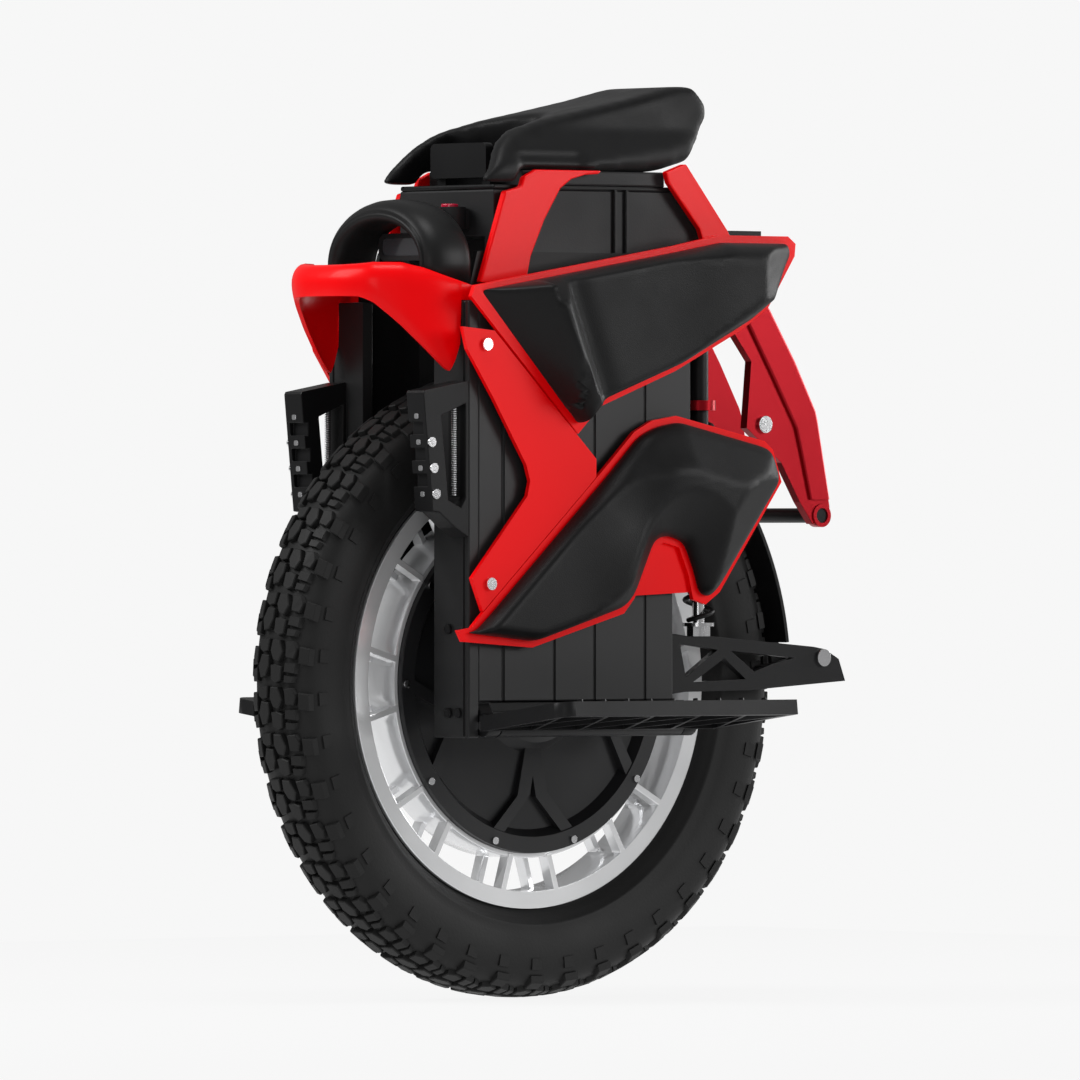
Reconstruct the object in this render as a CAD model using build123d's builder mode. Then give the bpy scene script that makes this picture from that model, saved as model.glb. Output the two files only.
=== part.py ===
"""Electric unicycle with a sliding wheel carrier, folding pedals, side pads and a seat.

Millimetres. +X is forward, +Y is the rider's left, +Z is up. The origin is on the ground, under the axle.
"""
import os
from math import atan2, cos, degrees, radians, sin

from build123d import *

# Driving dimensions: wheel
TYRE_RADIUS = 254.0
TYRE_HALF_WIDTH = 38.0
KNOB_HEIGHT = 5.0
KNOB_PITCHES = 42
KNOB_DEPTH = 10.0
TREAD_ROWS = ((0, 8, 24, 13, 0), (0.35, 21.5, 22, 12, 1.5), (0.8, 31.5, 20, 9, 6.5))
RIM_RADIUS = 182.0
RIM_HALF_WIDTH = 21.0
RIM_LIP = 14.0
SPOKE_PAIRS = 8
MOTOR_RADIUS = 137.0
MOTOR_SHELL = 4.0
MAGNET_RING = 8.0
AIR_GAP = 1.5
STATOR_SLOTS = 27
COVER_BOLT_CIRCLE = 133.0
COVER_BOLTS = 10
COVER_FACE = 26.0
AXLE_RADIUS = 15.0
BEARING_RADIUS = 26.0
RUNNING = 0.05

# Driving dimensions: wheel carrier and suspension
TRAVEL = 90.0
CARRIER_IN = 42.0
CARRIER_OUT = 50.0
CARRIER_HALF = 58.0
CARRIER_TOP = 455.0
STAY_WALL = 7.0
FENDER_GAP = 4.0
FENDER_WALL = 3.0
SHOCK_X = -150.0
SHOCK_Y = 54.0
SHOCK_WIRE = 4.0
SHOCK_SHAFT = 5.0
SHOCK_TUBE_WALL = 3.0
SHOCK_GAP = 1.0

# Driving dimensions: sprung frame
FRAME_IN = 59.0
FRAME_WALL = 4.0
SHELL_OUT = 88.5
SHELL_WALL = 2.5
SHELL_FLOOR = 240.0
SHELL_TOP = 560.0
SHELL_FRONT = 110.0
SHELL_REAR = -93.0
LEG_FRONT = 120.0
LEG_IN = 45.0
LEG_FOOT = 211.0
ROOF = 612.0
SEAT_RAIL = 654.0
CASE_FRONT = 70.0
CASE_REAR = -150.0
ARCH_WALL = 6.0
ARM_IN = 42.0
ARM_WALL = 8.0
EYE_X = -285.0
EYE_Z = 389.0

# Driving dimensions: pads, seat and pedals
TRIM_IN = 94.0
TRIM_WALL = 4.0
PAD_REACH = 37.0
LOWER_PAD_REACH = 30.0
SEAT_HALF = 69.0
SEAT_REACH = 110.0
PEDAL_Y = 92.0
PEDAL_Z = 221.0
PEDAL_HALF = 122.0
PEDAL_REACH = 118.0
PEDAL_TILT = 7.0
PEDAL_RIM = 12.0
PEDAL_CORNER = 12.0
PIN_RADIUS = 4.0
BOLT_HEAD = 5.0

SPOKE_ROOT = 8.0
SPOKE_TIP = 9.5
SPOKE_WALL = 5.0
SPOKE_DEPTH = 11.0
FENDER_TOP = 125.0
FENDER_LOW = 173.0
TUBE_X = 280.0
TUBE_Z = 273.0
TUBE_RADIUS = 6.0
STAY_SEAT = 291.0
SHOCK_BODY_Z = 420.0
SHOCK_TOP = 555.0
SHOCK_COLLAR_Z = 474.0
SHOCK_TURNS = 9
GUIDE_LOW = 262.0
GUIDE_FIXED = 395.0
SHELL_GROOVES = (84.0, 31.0, -11.0, -64.0)
BLOCK_WIDTH = 22.0
BLOCK_TOP = 492.0
BLOCK_LOW = 391.0
FIN_COUNT = 3
FIN_PITCH = 20.7
DECK_Z = 616.0
HOOD_SEAT = 572.0
SIDE_TOP = 600.0
HOOD_REAR = 98.0
HOOD_FRONT = 144.0
HOOD_HALF = 70.0
HOOD_TOP = 642.0
HOOD_WALL = 18.0
HOOD_SPRING = 590.0
LAMP_Z = 604.0
COWL_FOLD = 120.0
COWL_REAR = 107.0
COWL_NOSE = 204.0
COWL_TIP_X = 130.0
COWL_HALF = 80.0
COWL_WALL = 4.0
COWL_TOP = 592.0
COWL_LIP = 563.0
COWL_TIP = 503.0
BUTTON_X = 84.0
BUTTON_Y = 21.0
BUTTON_RADIUS = 7.0
BUTTON_TRAVEL = 2.0
PEDAL_INNER = 13.0
BARREL_HALF = 95.0
BARREL_RADIUS = 9.5
TRUSS_WINDOWS = (((-62, 280), (-112, 286), (-118, 262), (-70, 252)),
                 ((-128, 285), (-168, 280), (-134, 258)),
                 ((-142, 254), (-175, 273), (-198, 256)),
                 ((-182, 279), (-250, 273), (-226, 268), (-207, 262)))

AXLE_Z = TYRE_RADIUS
SHOCK_TUBE = SHOCK_SHAFT + SHOCK_TUBE_WALL
SHOCK_COIL = SHOCK_TUBE + SHOCK_GAP + SHOCK_WIRE / 2
FRAME_OUT = FRAME_IN + FRAME_WALL
TRIM_OUT = TRIM_IN + TRIM_WALL
SIDES = (("left", 1), ("right", -1))
AXLE_PLANE = Plane((0, 0, AXLE_Z), x_dir=(1, 0, 0), z_dir=(0, -1, 0))
SECTION = Plane((0, 0, AXLE_Z), x_dir=(1, 0, 0), z_dir=(0, 0, 1))
WHEEL_AXIS = Axis((0, 0, AXLE_Z), (0, 1, 0))

os.makedirs("parts", exist_ok=True)


def save(piece, label):
    """Label a finished piece and write its STEP file."""
    piece.part.label = label
    export_step(piece.part, f"parts/{label}.step")


def side_plane(side, y):
    """Upright plane parallel to the wheel at distance y from the middle, X across and Z up."""
    return Plane.XZ.offset(-side * y)


def wheel_plane(side, y):
    """The same plane with its origin on the axle."""
    return AXLE_PLANE.offset(-side * y)


def slab(outline, side, y_in, y_out):
    """Add a plate to the piece being built: an X-Z outline between two distances from the middle plane."""
    with BuildSketch(side_plane(side, y_in), mode=Mode.PRIVATE) as profile:
        with BuildLine():
            Polyline(*outline, close=True)
        make_face()
    extrude(profile.sketch, amount=-side * (y_out - y_in))


def side_plate(outline, side, y_in, y_out):
    """Plate on its own, cut to an X-Z outline."""
    with BuildPart() as plate:
        slab(outline, side, y_in, y_out)
    return plate


def bolt_group(places, side, y_face, radius=BOLT_HEAD, height=3.0):
    """Round bolt heads that stand on a side face, one solid each."""
    with BuildPart() as bolts:
        with BuildSketch(side_plane(side, y_face)):
            with Locations(*places):
                Circle(radius)
        extrude(amount=-side * height)
    return bolts


def both_sides(make):
    """Left and right copies of a piece in one node, as separate solids."""
    left = make(1)
    right = make(-1)
    with BuildPart() as pair:
        add(left.part)
        add(right.part)
    return pair


# ---- Wheel: tyre, rim, motor ----

def make_tyre():
    """Hollow knobbly tyre: a revolved casing with rows of tread blocks."""
    casing = TYRE_RADIUS - KNOB_HEIGHT
    bead = RIM_RADIUS - RIM_LIP + 5
    flange = RIM_HALF_WIDTH - 4
    w = TYRE_HALF_WIDTH
    with BuildPart() as tyre:
        with BuildSketch(SECTION):
            with BuildLine():
                outer = Spline((RIM_RADIUS + 0.5, flange), (RIM_RADIUS + 22, w - 5), (casing - 22, w - 2.5),
                               (casing - 7, w - 8), (casing - 1, w - 24), (casing, 0))
                Polyline(outer @ 0, (bead, flange), (bead, flange - 6))
                inner = Spline((bead, flange - 6), (RIM_RADIUS + 20, w - 13), (casing - 24, w - 11),
                               (casing - 12, w - 24), (casing - 11, 0))
                Line(inner @ 1, outer @ 1)
            make_face()
            mirror(about=Plane.XZ)
        revolve(axis=WHEEL_AXIS)
        pitch = 360 / KNOB_PITCHES
        for turn, y, length, width, drop in TREAD_ROWS:
            top = (TYRE_RADIUS ** 2 - length ** 2 / 4) ** 0.5 - drop
            for side in (1, -1):
                start = turn if side > 0 else turn + 0.5
                places = [knob_place((n + start) * pitch, side * y, top - KNOB_DEPTH / 2)
                          for n in range(KNOB_PITCHES)]
                with Locations(*places):
                    Box(length, width, KNOB_DEPTH)
    return tyre


def knob_place(angle, y, radius):
    """Place of a tread block: turned about the axle, at a height above it."""
    return Location((0, 0, AXLE_Z), (0, 1, 0), angle) * Location((0, y, radius))


def make_rim():
    """Cast rim: barrel, two lips, motor shell ring and two faces of paired spokes with open windows."""
    hole = RIM_RADIUS - RIM_LIP
    flange = RIM_HALF_WIDTH - 4
    shell = MOTOR_RADIUS + MOTOR_SHELL
    with BuildPart() as rim:
        with BuildSketch(SECTION):
            with BuildLine():
                Polyline((hole, 0), (hole, RIM_HALF_WIDTH), (RIM_RADIUS, RIM_HALF_WIDTH),
                         (RIM_RADIUS, flange),
                         (hole + 5, flange), (hole + 5, 0), close=True)
            make_face()
            with BuildLine():
                Polyline((MOTOR_RADIUS, 0), (MOTOR_RADIUS, RIM_HALF_WIDTH - 1), (shell, RIM_HALF_WIDTH - 1),
                         (shell, 0), close=True)
            make_face()
            mirror(about=Plane.XZ)
        revolve(axis=WHEEL_AXIS)
        for side in (1, -1):
            with BuildSketch(wheel_plane(side, RIM_HALF_WIDTH)):
                for pair in range(SPOKE_PAIRS):
                    for lean in (-1, 1):
                        centre = -90 + pair * 360 / SPOKE_PAIRS
                        root = polar(shell - 2, centre + lean * SPOKE_ROOT)
                        tip = polar(hole + 2, centre + lean * SPOKE_TIP)
                        with Locations(((root[0] + tip[0]) / 2, (root[1] + tip[1]) / 2)):
                            length = ((tip[0] - root[0]) ** 2 + (tip[1] - root[1]) ** 2) ** 0.5
                            turn = degrees(atan2(tip[1] - root[1], tip[0] - root[0]))
                            Rectangle(length, SPOKE_WALL, rotation=turn)
            extrude(amount=side * SPOKE_DEPTH)
    return rim


def polar(radius, angle):
    """Point at a radius and an angle in degrees."""
    return (radius * cos(radians(angle)), radius * sin(radians(angle)))


def make_cover(side):
    """Motor side cover: dished disc, bolted rim, five forked blades and a domed hub."""
    with BuildPart() as cover:
        with BuildSketch(SECTION):
            with BuildLine():
                Polyline((BEARING_RADIUS, side * 12), (BEARING_RADIUS, side * 24),
                         (AXLE_RADIUS + 2, side * 24),
                         (AXLE_RADIUS + 2, side * 36), (36, side * 36), (48, side * 30), (56, side * 21),
                         (118, side * 18), (124, side * (COVER_FACE - 0.5)),
                         (MOTOR_RADIUS, side * (COVER_FACE - 0.5)),
                         (MOTOR_RADIUS, side * 18.5), (118, side * 14), (60, side * 16), (50, side * 12),
                         close=True)
            make_face()
        revolve(axis=WHEEL_AXIS)
        with BuildSketch(wheel_plane(side, 17)):
            for rib in range(5):
                stem = -90 + rib * 72
                for lean in (-1, 1):
                    with BuildLine():
                        Polyline(polar(44, stem + 8), polar(92, stem + lean * 6 + 4),
                                 polar(129, stem + lean * 18 + 2.6), polar(129, stem + lean * 18 - 2.6),
                                 polar(90, stem + lean * 6 - 4), polar(44, stem - 8), close=True)
                    make_face()
        extrude(amount=-side * (COVER_FACE - 18.5))
    return cover


def make_stator():
    """Slotted stator on its hub, fixed to the axle."""
    inside = MOTOR_RADIUS - MAGNET_RING - AIR_GAP
    with BuildPart() as stator:
        with BuildSketch(wheel_plane(1, -11)):
            Circle(inside)
            with PolarLocations(inside - 9, STATOR_SLOTS):
                Rectangle(18, 6, mode=Mode.SUBTRACT)
            with PolarLocations(68, 6):
                Circle(20, mode=Mode.SUBTRACT)
            Circle(AXLE_RADIUS, mode=Mode.SUBTRACT)
        extrude(amount=-22)
    return stator


def ring(inner, outer, y_from, y_to):
    """Ring about the axle between two distances from the middle plane."""
    with BuildPart() as hoop:
        with BuildSketch(wheel_plane(1, y_from)):
            Circle(outer)
            Circle(inner, mode=Mode.SUBTRACT)
        extrude(amount=-(y_to - y_from))
    return hoop


def make_bearing(side):
    """Ball bearing as a plain ring, a running fit on the axle."""
    return ring(AXLE_RADIUS + RUNNING, BEARING_RADIUS, *sorted((side * 12, side * 24)))


def make_cover_bolts(side):
    """Bolt heads round the rim of a motor cover."""
    turns = [n * 360 / COVER_BOLTS for n in range(COVER_BOLTS)]
    places = [(polar(COVER_BOLT_CIRCLE, a)[0], AXLE_Z + polar(COVER_BOLT_CIRCLE, a)[1]) for a in turns]
    return bolt_group(places, side, COVER_FACE - 0.5, 3.0, 2.0)


save(make_tyre(), "tyre")
save(make_rim(), "rim")
save(make_stator(), "motor_stator")
save(ring(MOTOR_RADIUS - MAGNET_RING, MOTOR_RADIUS, -14, 14), "magnet_ring")
save(both_sides(make_bearing), "wheel_bearings")
save(both_sides(make_cover_bolts), "motor_cover_bolts")
for name, side in SIDES:
    save(make_cover(side), f"{name}_motor_cover")


# ---- Wheel carrier: axle, side plates, rear stays, mudguard ----

with BuildPart() as axle:
    with BuildSketch(wheel_plane(1, -CARRIER_OUT)):
        Circle(AXLE_RADIUS)
    extrude(amount=-2 * CARRIER_OUT)
save(axle, "axle")


def make_carrier(side):
    """Upright plate that holds one axle end and slides between the frame's guides."""
    with BuildPart() as carrier:
        with BuildSketch(side_plane(side, CARRIER_IN)):
            with BuildLine():
                Polyline((-CARRIER_HALF, CARRIER_TOP), (CARRIER_HALF, CARRIER_TOP),
                         (CARRIER_HALF, AXLE_Z + 10),
                         (30, AXLE_Z - 34), (-30, AXLE_Z - 34), (-CARRIER_HALF, AXLE_Z + 10), close=True)
            make_face()
            with Locations((0, AXLE_Z)):
                Circle(AXLE_RADIUS, mode=Mode.SUBTRACT)
            for z in (AXLE_Z + 75, AXLE_Z + 145):
                with Locations((0, z)):
                    RectangleRounded(70, 50, 10, mode=Mode.SUBTRACT)
        extrude(amount=-side * (CARRIER_OUT - CARRIER_IN))
    return carrier


def make_nut(side):
    """Axle nut with a washer face."""
    with BuildPart() as nut:
        with BuildSketch(wheel_plane(side, CARRIER_OUT)):
            RegularPolygon(radius=20, side_count=6)
        extrude(amount=-side * 7)
    return nut


def make_stay(side):
    """Rear truss stay: bars from the carrier plate back to an end plate behind the tyre."""
    y = CARRIER_OUT
    with BuildPart() as stay:
        with BuildSketch(side_plane(side, y)):
            with BuildLine():
                Polyline((30, 300), (-123, 293), (-138, 291), (-162, 291), (-271, 282), (-283, 280),
                         (-298, 272),
                         (-305, 254), (-202, 247), (-133, 246), (-45, 236), (-30, 246), (-24, 268),
                         (30, 282),
                         close=True)
            make_face()
            for window in TRUSS_WINDOWS:
                with BuildLine():
                    Polyline(*window, close=True)
                make_face(mode=Mode.SUBTRACT)
        extrude(amount=-side * STAY_WALL)
        with BuildSketch(side_plane(side, y)):
            with BuildLine():
                Polyline((-221, 267), (-202, 247), (-305, 254), (-298, 272), close=True)
            make_face()
        extrude(amount=side * (y - CARRIER_IN))
    return stay


def make_fender():
    """Mudguard band close behind the tyre, with two ears that meet the rear cross tube."""
    inner = TYRE_RADIUS + FENDER_GAP
    with BuildPart() as fender:
        with BuildSketch(Plane.XZ):
            with BuildLine():
                high = CenterArc((0, AXLE_Z), inner + FENDER_WALL, FENDER_TOP, FENDER_LOW - FENDER_TOP)
                low = CenterArc((0, AXLE_Z), inner, FENDER_TOP, FENDER_LOW - FENDER_TOP)
                Line(high @ 0, low @ 0)
                Line(high @ 1, low @ 1)
            make_face()
        extrude(amount=TYRE_HALF_WIDTH + 2, both=True)
        with BuildSketch(Plane.XZ):
            with BuildLine():
                Polyline((-257, 282), (-260, 268), (-TUBE_X + 5, 268), (-TUBE_X + 5, 280),
                         (-259, 290), close=True)
            make_face()
        extrude(amount=18, both=True)
        with BuildSketch(Plane.XZ):
            with Locations((-TUBE_X, TUBE_Z)):
                Circle(TUBE_RADIUS)
        extrude(amount=20, both=True, mode=Mode.SUBTRACT)
    return fender


with BuildPart() as stay_tube:
    with BuildSketch(Plane.XZ):
        with Locations((-TUBE_X, TUBE_Z)):
            Circle(TUBE_RADIUS)
    extrude(amount=CARRIER_IN, both=True)
save(stay_tube, "stay_cross_tube")
save(make_fender(), "mudguard")


# ---- Suspension: two shock absorbers ----

def shock_spot(side, z):
    """Horizontal plane on a shock absorber's centre line."""
    return Plane((SHOCK_X, side * SHOCK_Y, z))


def make_shock_body(side):
    """Damper body: bored cylinder with a collar thread and a square top block."""
    with BuildPart() as body:
        with BuildSketch(shock_spot(side, SHOCK_BODY_Z)):
            Circle(SHOCK_TUBE)
        extrude(amount=SHOCK_TOP - SHOCK_BODY_Z)
        with BuildSketch(shock_spot(side, SHOCK_TOP)):
            Rectangle(20, 10)
        extrude(amount=20)
        with BuildSketch(shock_spot(side, SHOCK_BODY_Z)):
            Circle(SHOCK_SHAFT + RUNNING)
        extrude(amount=TRAVEL + 40, mode=Mode.SUBTRACT)
    return body


def make_shock_shaft(side):
    """Shaft with the lower spring cup and a foot on the stay."""
    with BuildPart() as shaft:
        with BuildSketch(shock_spot(side, STAY_SEAT)):
            Circle(SHOCK_SHAFT)
        extrude(amount=SHOCK_BODY_Z + 30 - STAY_SEAT)
        with BuildSketch(shock_spot(side, STAY_SEAT)):
            Rectangle(18, 8)
        extrude(amount=8)
        with BuildSketch(shock_spot(side, STAY_SEAT + 8)):
            Circle(SHOCK_COIL + 2)
        extrude(amount=3)
    return shaft


def make_shock_spring(side):
    """Coil spring between the lower cup and the collar."""
    low = STAY_SEAT + 11 + SHOCK_WIRE / 2
    high = SHOCK_COLLAR_Z - SHOCK_WIRE / 2
    with BuildPart() as spring:
        with BuildLine():
            coil = Helix(pitch=(high - low) / SHOCK_TURNS, height=high - low, radius=SHOCK_COIL,
                         center=(SHOCK_X, side * SHOCK_Y, low))
        with BuildSketch(Plane(origin=coil @ 0, z_dir=coil % 0)):
            Circle(SHOCK_WIRE / 2)
        sweep()
    return spring


def make_shock_collar(side):
    """Turned spring collar, clear of the bore and tight on the body."""
    with BuildPart() as collar:
        with BuildSketch(shock_spot(side, SHOCK_COLLAR_Z)):
            Circle(SHOCK_COIL + 3)
            Circle(SHOCK_TUBE, mode=Mode.SUBTRACT)
        extrude(amount=8)
    return collar


def make_stay_bolt(side):
    """Bolt head at the rear end of a stay."""
    return bolt_group([(-TUBE_X, TUBE_Z)], side, CARRIER_OUT + STAY_WALL, 7, 3)


for name, side in SIDES:
    save(make_carrier(side), f"{name}_carrier_plate")
save(both_sides(make_nut), "axle_nuts")
save(both_sides(make_stay), "rear_stays")
save(both_sides(make_stay_bolt), "stay_bolts")
save(both_sides(make_shock_body), "shock_bodies")
save(both_sides(make_shock_shaft), "shock_shafts")
save(both_sides(make_shock_spring), "shock_springs")
save(both_sides(make_shock_collar), "shock_collars")


# ---- Sprung frame: side frames, battery cases, front legs and blocks ----

def make_side_frame(side):
    """Chassis side plate with the two guides that the carrier plate slides between."""
    edge = CARRIER_HALF + RUNNING
    guide = edge + 8
    outline = [(SHELL_FRONT, LEG_FOOT + 4), (SHELL_FRONT, HOOD_SEAT), (HOOD_REAR, HOOD_SEAT),
               (HOOD_REAR - 8, SIDE_TOP), (CASE_REAR - 12, SIDE_TOP), (CASE_REAR - 12, 565), (-118, 545),
               (-118, 440), (-105, 430), (-105, SHELL_FLOOR), (80, SHELL_FLOOR), (95, LEG_FOOT + 4)]
    guide_top = ROOF - 52
    with BuildPart() as frame:
        slab(outline, side, FRAME_IN, FRAME_OUT)
        for front in (1, -1):
            with BuildSketch(side_plane(side, CARRIER_IN - 2.8)):
                x = front * (edge + guide) / 2
                with Locations((x, (GUIDE_LOW + guide_top) / 2)):
                    Rectangle(guide - edge, guide_top - GUIDE_LOW)
            extrude(amount=-side * (CARRIER_OUT - CARRIER_IN + 2.8))
            with BuildSketch(side_plane(side, CARRIER_OUT + 0.1)):
                with Locations((front * (guide - 8), (GUIDE_FIXED + guide_top) / 2)):
                    Rectangle(16, guide_top - GUIDE_FIXED)
            extrude(amount=-side * (FRAME_IN - CARRIER_OUT - 0.1))
            with BuildSketch(side_plane(side, CARRIER_IN)):
                with Locations((x, (GUIDE_FIXED + guide_top) / 2)):
                    Rectangle(guide - edge, guide_top - GUIDE_FIXED)
            extrude(amount=-side * (FRAME_IN - CARRIER_IN))
            with BuildSketch(side_plane(side, CARRIER_IN - 2.8)):
                with Locations((front * (guide - 8), (GUIDE_LOW + guide_top) / 2)):
                    Rectangle(16, guide_top - GUIDE_LOW)
            extrude(amount=-side * 2.7)
    return frame


def make_battery_case(side):
    """Hollow battery shell with vertical grooves outside and open towards the chassis plate."""
    outline = [(SHELL_FRONT, SHELL_FLOOR), (SHELL_FRONT, SHELL_TOP), (SHELL_REAR - 19, SHELL_TOP - 10),
               (SHELL_REAR - 19, 450), (SHELL_REAR, 425), (SHELL_REAR, SHELL_FLOOR)]
    inner_x = (SHELL_FRONT + SHELL_REAR) / 2
    width = SHELL_FRONT - SHELL_REAR - 2 * SHELL_WALL
    with BuildPart() as case:
        slab(outline, side, FRAME_OUT, SHELL_OUT)
        with BuildSketch(side_plane(side, FRAME_OUT)):
            with Locations((inner_x, (SHELL_FLOOR + SHELL_TOP - 14) / 2)):
                Rectangle(width, SHELL_TOP - 14 - SHELL_FLOOR - 2 * SHELL_WALL)
        extrude(amount=-side * (SHELL_OUT - FRAME_OUT - SHELL_WALL), mode=Mode.SUBTRACT)
        with BuildSketch(side_plane(side, SHELL_OUT - 1.2)):
            with Locations(*[(x, (SHELL_FLOOR + SHELL_TOP) / 2) for x in SHELL_GROOVES]):
                Rectangle(2.5, SHELL_TOP - SHELL_FLOOR + 2)
        extrude(amount=-side * 3, mode=Mode.SUBTRACT)
    return case


def make_battery(side):
    """Battery pack: block that fills the case from the chassis plate out."""
    inner_x = (SHELL_FRONT + SHELL_REAR) / 2
    width = SHELL_FRONT - SHELL_REAR - 2 * SHELL_WALL - 1
    with BuildPart() as pack:
        with BuildSketch(side_plane(side, FRAME_OUT)):
            with Locations((inner_x, (SHELL_FLOOR + SHELL_TOP - 14) / 2)):
                Rectangle(width, SHELL_TOP - 14 - SHELL_FLOOR - 2 * SHELL_WALL - 1)
        extrude(amount=-side * (SHELL_OUT - FRAME_OUT - SHELL_WALL - 0.5))
    return pack


def make_leg(side):
    """Front leg: wide flat face in front of the battery case, with a raised outer corner."""
    with BuildPart() as leg:
        with BuildSketch(Plane.YZ.offset(SHELL_FRONT)):
            with Locations((side * (LEG_IN + SHELL_OUT) / 2, (LEG_FOOT + SHELL_TOP) / 2)):
                Rectangle(SHELL_OUT - LEG_IN, SHELL_TOP - LEG_FOOT)
        extrude(amount=LEG_FRONT - SHELL_FRONT)
        with BuildSketch(Plane.YZ.offset(LEG_FRONT - 2)):
            with Locations((side * (SHELL_OUT - 6), (LEG_FOOT + SHELL_TOP) / 2)):
                Rectangle(2, SHELL_TOP - LEG_FOOT + 2)
        extrude(amount=4, mode=Mode.SUBTRACT)
    return leg


def make_front_block(side):
    """Finned front block on the leg: tapering face, side window and lower gusset."""
    y_in = SHELL_OUT - BLOCK_WIDTH
    outline = [(LEG_FRONT, BLOCK_TOP + 4), (165.5, BLOCK_TOP - 4), (166.5, BLOCK_TOP - 6),
               (157, BLOCK_LOW + 1),
               (150, BLOCK_LOW), (134, BLOCK_LOW - 12), (LEG_FRONT, BLOCK_LOW - 20)]
    with BuildPart() as block:
        slab(outline, side, y_in, SHELL_OUT)
        with BuildSketch(side_plane(side, y_in - 1)):
            with BuildLine():
                Polyline((LEG_FRONT + 3, 478), (148, 468), (141, BLOCK_LOW + 10), (128, BLOCK_LOW + 4),
                         (LEG_FRONT + 3, BLOCK_LOW + 12), close=True)
            make_face()
        extrude(amount=-side * (BLOCK_WIDTH + 2), mode=Mode.SUBTRACT)
        with BuildSketch(side_plane(side, y_in - 1)):
            for n in range(FIN_COUNT):
                with Locations((166.5 - n * 2.2, BLOCK_TOP - 34 - n * FIN_PITCH)):
                    Rectangle(14, FIN_PITCH / 2)
        extrude(amount=-side * (BLOCK_WIDTH - 3), mode=Mode.SUBTRACT)
    return block


def make_block_bolts(side):
    """Three bolt heads down the outer edge of a front block."""
    places = [(158.5 - n * 2.2, BLOCK_TOP - 45 - n * FIN_PITCH) for n in range(3)]
    return bolt_group(places, side, SHELL_OUT, 4, 1.5)


def make_leg_bolts(side):
    """Three dark bolt heads on the front face of a leg."""
    with BuildPart() as bolts:
        with BuildSketch(Plane.YZ.offset(LEG_FRONT)):
            places = [(side * 64, LEG_FOOT + 87), (side * 64, LEG_FOOT + 20), (side * 76, LEG_FOOT + 20)]
            with Locations(*places):
                RegularPolygon(radius=4.5, side_count=6)
        extrude(amount=3)
    return bolts


for name, side in SIDES:
    save(make_side_frame(side), f"{name}_side_frame")
    save(make_battery_case(side), f"{name}_battery_case")
save(both_sides(make_battery), "battery_packs")
save(both_sides(make_leg), "front_legs")
save(both_sides(make_front_block), "front_blocks")
save(both_sides(make_block_bolts), "block_bolts")
save(both_sides(make_leg_bolts), "leg_bolts")


# ---- Controller case, hood, front cowl ----

def make_controller_case():
    """Bridge between the side frames: a roof box over the tyre, side skirts and gussets."""
    with BuildPart() as case:
        with BuildSketch(Plane.YZ.offset(CASE_REAR)):
            with Locations((0, (ROOF + SEAT_RAIL) / 2 - 2)):
                Rectangle(2 * FRAME_IN, SEAT_RAIL - ROOF - 4)
            for side in (1, -1):
                with Locations((side * (FRAME_IN - 6), (ROOF + 575) / 2)):
                    Rectangle(12, ROOF - 575)
        extrude(amount=CASE_FRONT - CASE_REAR)
        with BuildSketch(Plane.XY.offset(ROOF + 4)):
            with Locations(((CASE_FRONT + CASE_REAR) / 2, 0)):
                Rectangle(CASE_FRONT - CASE_REAR - 8, 2 * FRAME_IN - 8)
        extrude(amount=SEAT_RAIL - ROOF, mode=Mode.SUBTRACT)
    return case


with BuildPart() as lid:
    with BuildSketch(Plane.XY.offset(SEAT_RAIL - 4)):
        with Locations(((CASE_FRONT + CASE_REAR) / 2, 0)):
            Rectangle(CASE_FRONT - CASE_REAR, 2 * FRAME_IN)
    extrude(amount=4)
save(make_controller_case(), "controller_case")
save(lid, "controller_lid")

with BuildPart() as board:
    with BuildSketch(Plane.XY.offset(ROOF + 4)):
        with Locations(((CASE_FRONT + CASE_REAR) / 2, 0)):
            Rectangle(150, 90)
    extrude(amount=12)
    with BuildSketch(Plane.XY.offset(ROOF + 16)):
        middle = (CASE_FRONT + CASE_REAR) / 2
        with Locations(*[(middle + x, y) for x in (-50, -25, 0, 25) for y in (-30, 30)]):
            Circle(8)
    extrude(amount=14)
save(board, "controller_board")

with BuildPart() as deck:
    with BuildSketch(Plane.XY.offset(DECK_Z)):
        with Locations(((CASE_REAR - 216) / 2, 0)):
            Rectangle(216 + CASE_REAR, 110)
    extrude(amount=4)
save(deck, "rear_deck")

with BuildPart() as hood:
    with BuildSketch(Plane.YZ.offset(HOOD_REAR)):
        with BuildLine():
            Polyline((-HOOD_HALF, HOOD_SEAT), (-HOOD_HALF, HOOD_SPRING))
            ThreePointArc((-HOOD_HALF, HOOD_SPRING), (0, HOOD_TOP), (HOOD_HALF, HOOD_SPRING))
            Polyline((HOOD_HALF, HOOD_SPRING), (HOOD_HALF, HOOD_SEAT), (-HOOD_HALF, HOOD_SEAT))
        make_face()
    extrude(amount=HOOD_FRONT - HOOD_REAR)
    with BuildSketch(Plane.YZ.offset(HOOD_REAR + 4)):
        with BuildLine():
            inner = HOOD_HALF - HOOD_WALL
            Polyline((-inner, HOOD_SEAT - 12), (-inner, HOOD_SPRING))
            ThreePointArc((-inner, HOOD_SPRING), (0, HOOD_TOP - HOOD_WALL), (inner, HOOD_SPRING))
            Polyline((inner, HOOD_SPRING), (inner, HOOD_SEAT - 12), (-inner, HOOD_SEAT - 12))
        make_face()
    extrude(amount=HOOD_FRONT, mode=Mode.SUBTRACT)
    with BuildSketch(Plane.YZ.offset(HOOD_REAR)):
        with Locations((0, HOOD_SEAT - 4)):
            Rectangle(2 * (HOOD_HALF - HOOD_WALL), 40)
    extrude(amount=5, mode=Mode.SUBTRACT)
save(hood, "front_hood")

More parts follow.
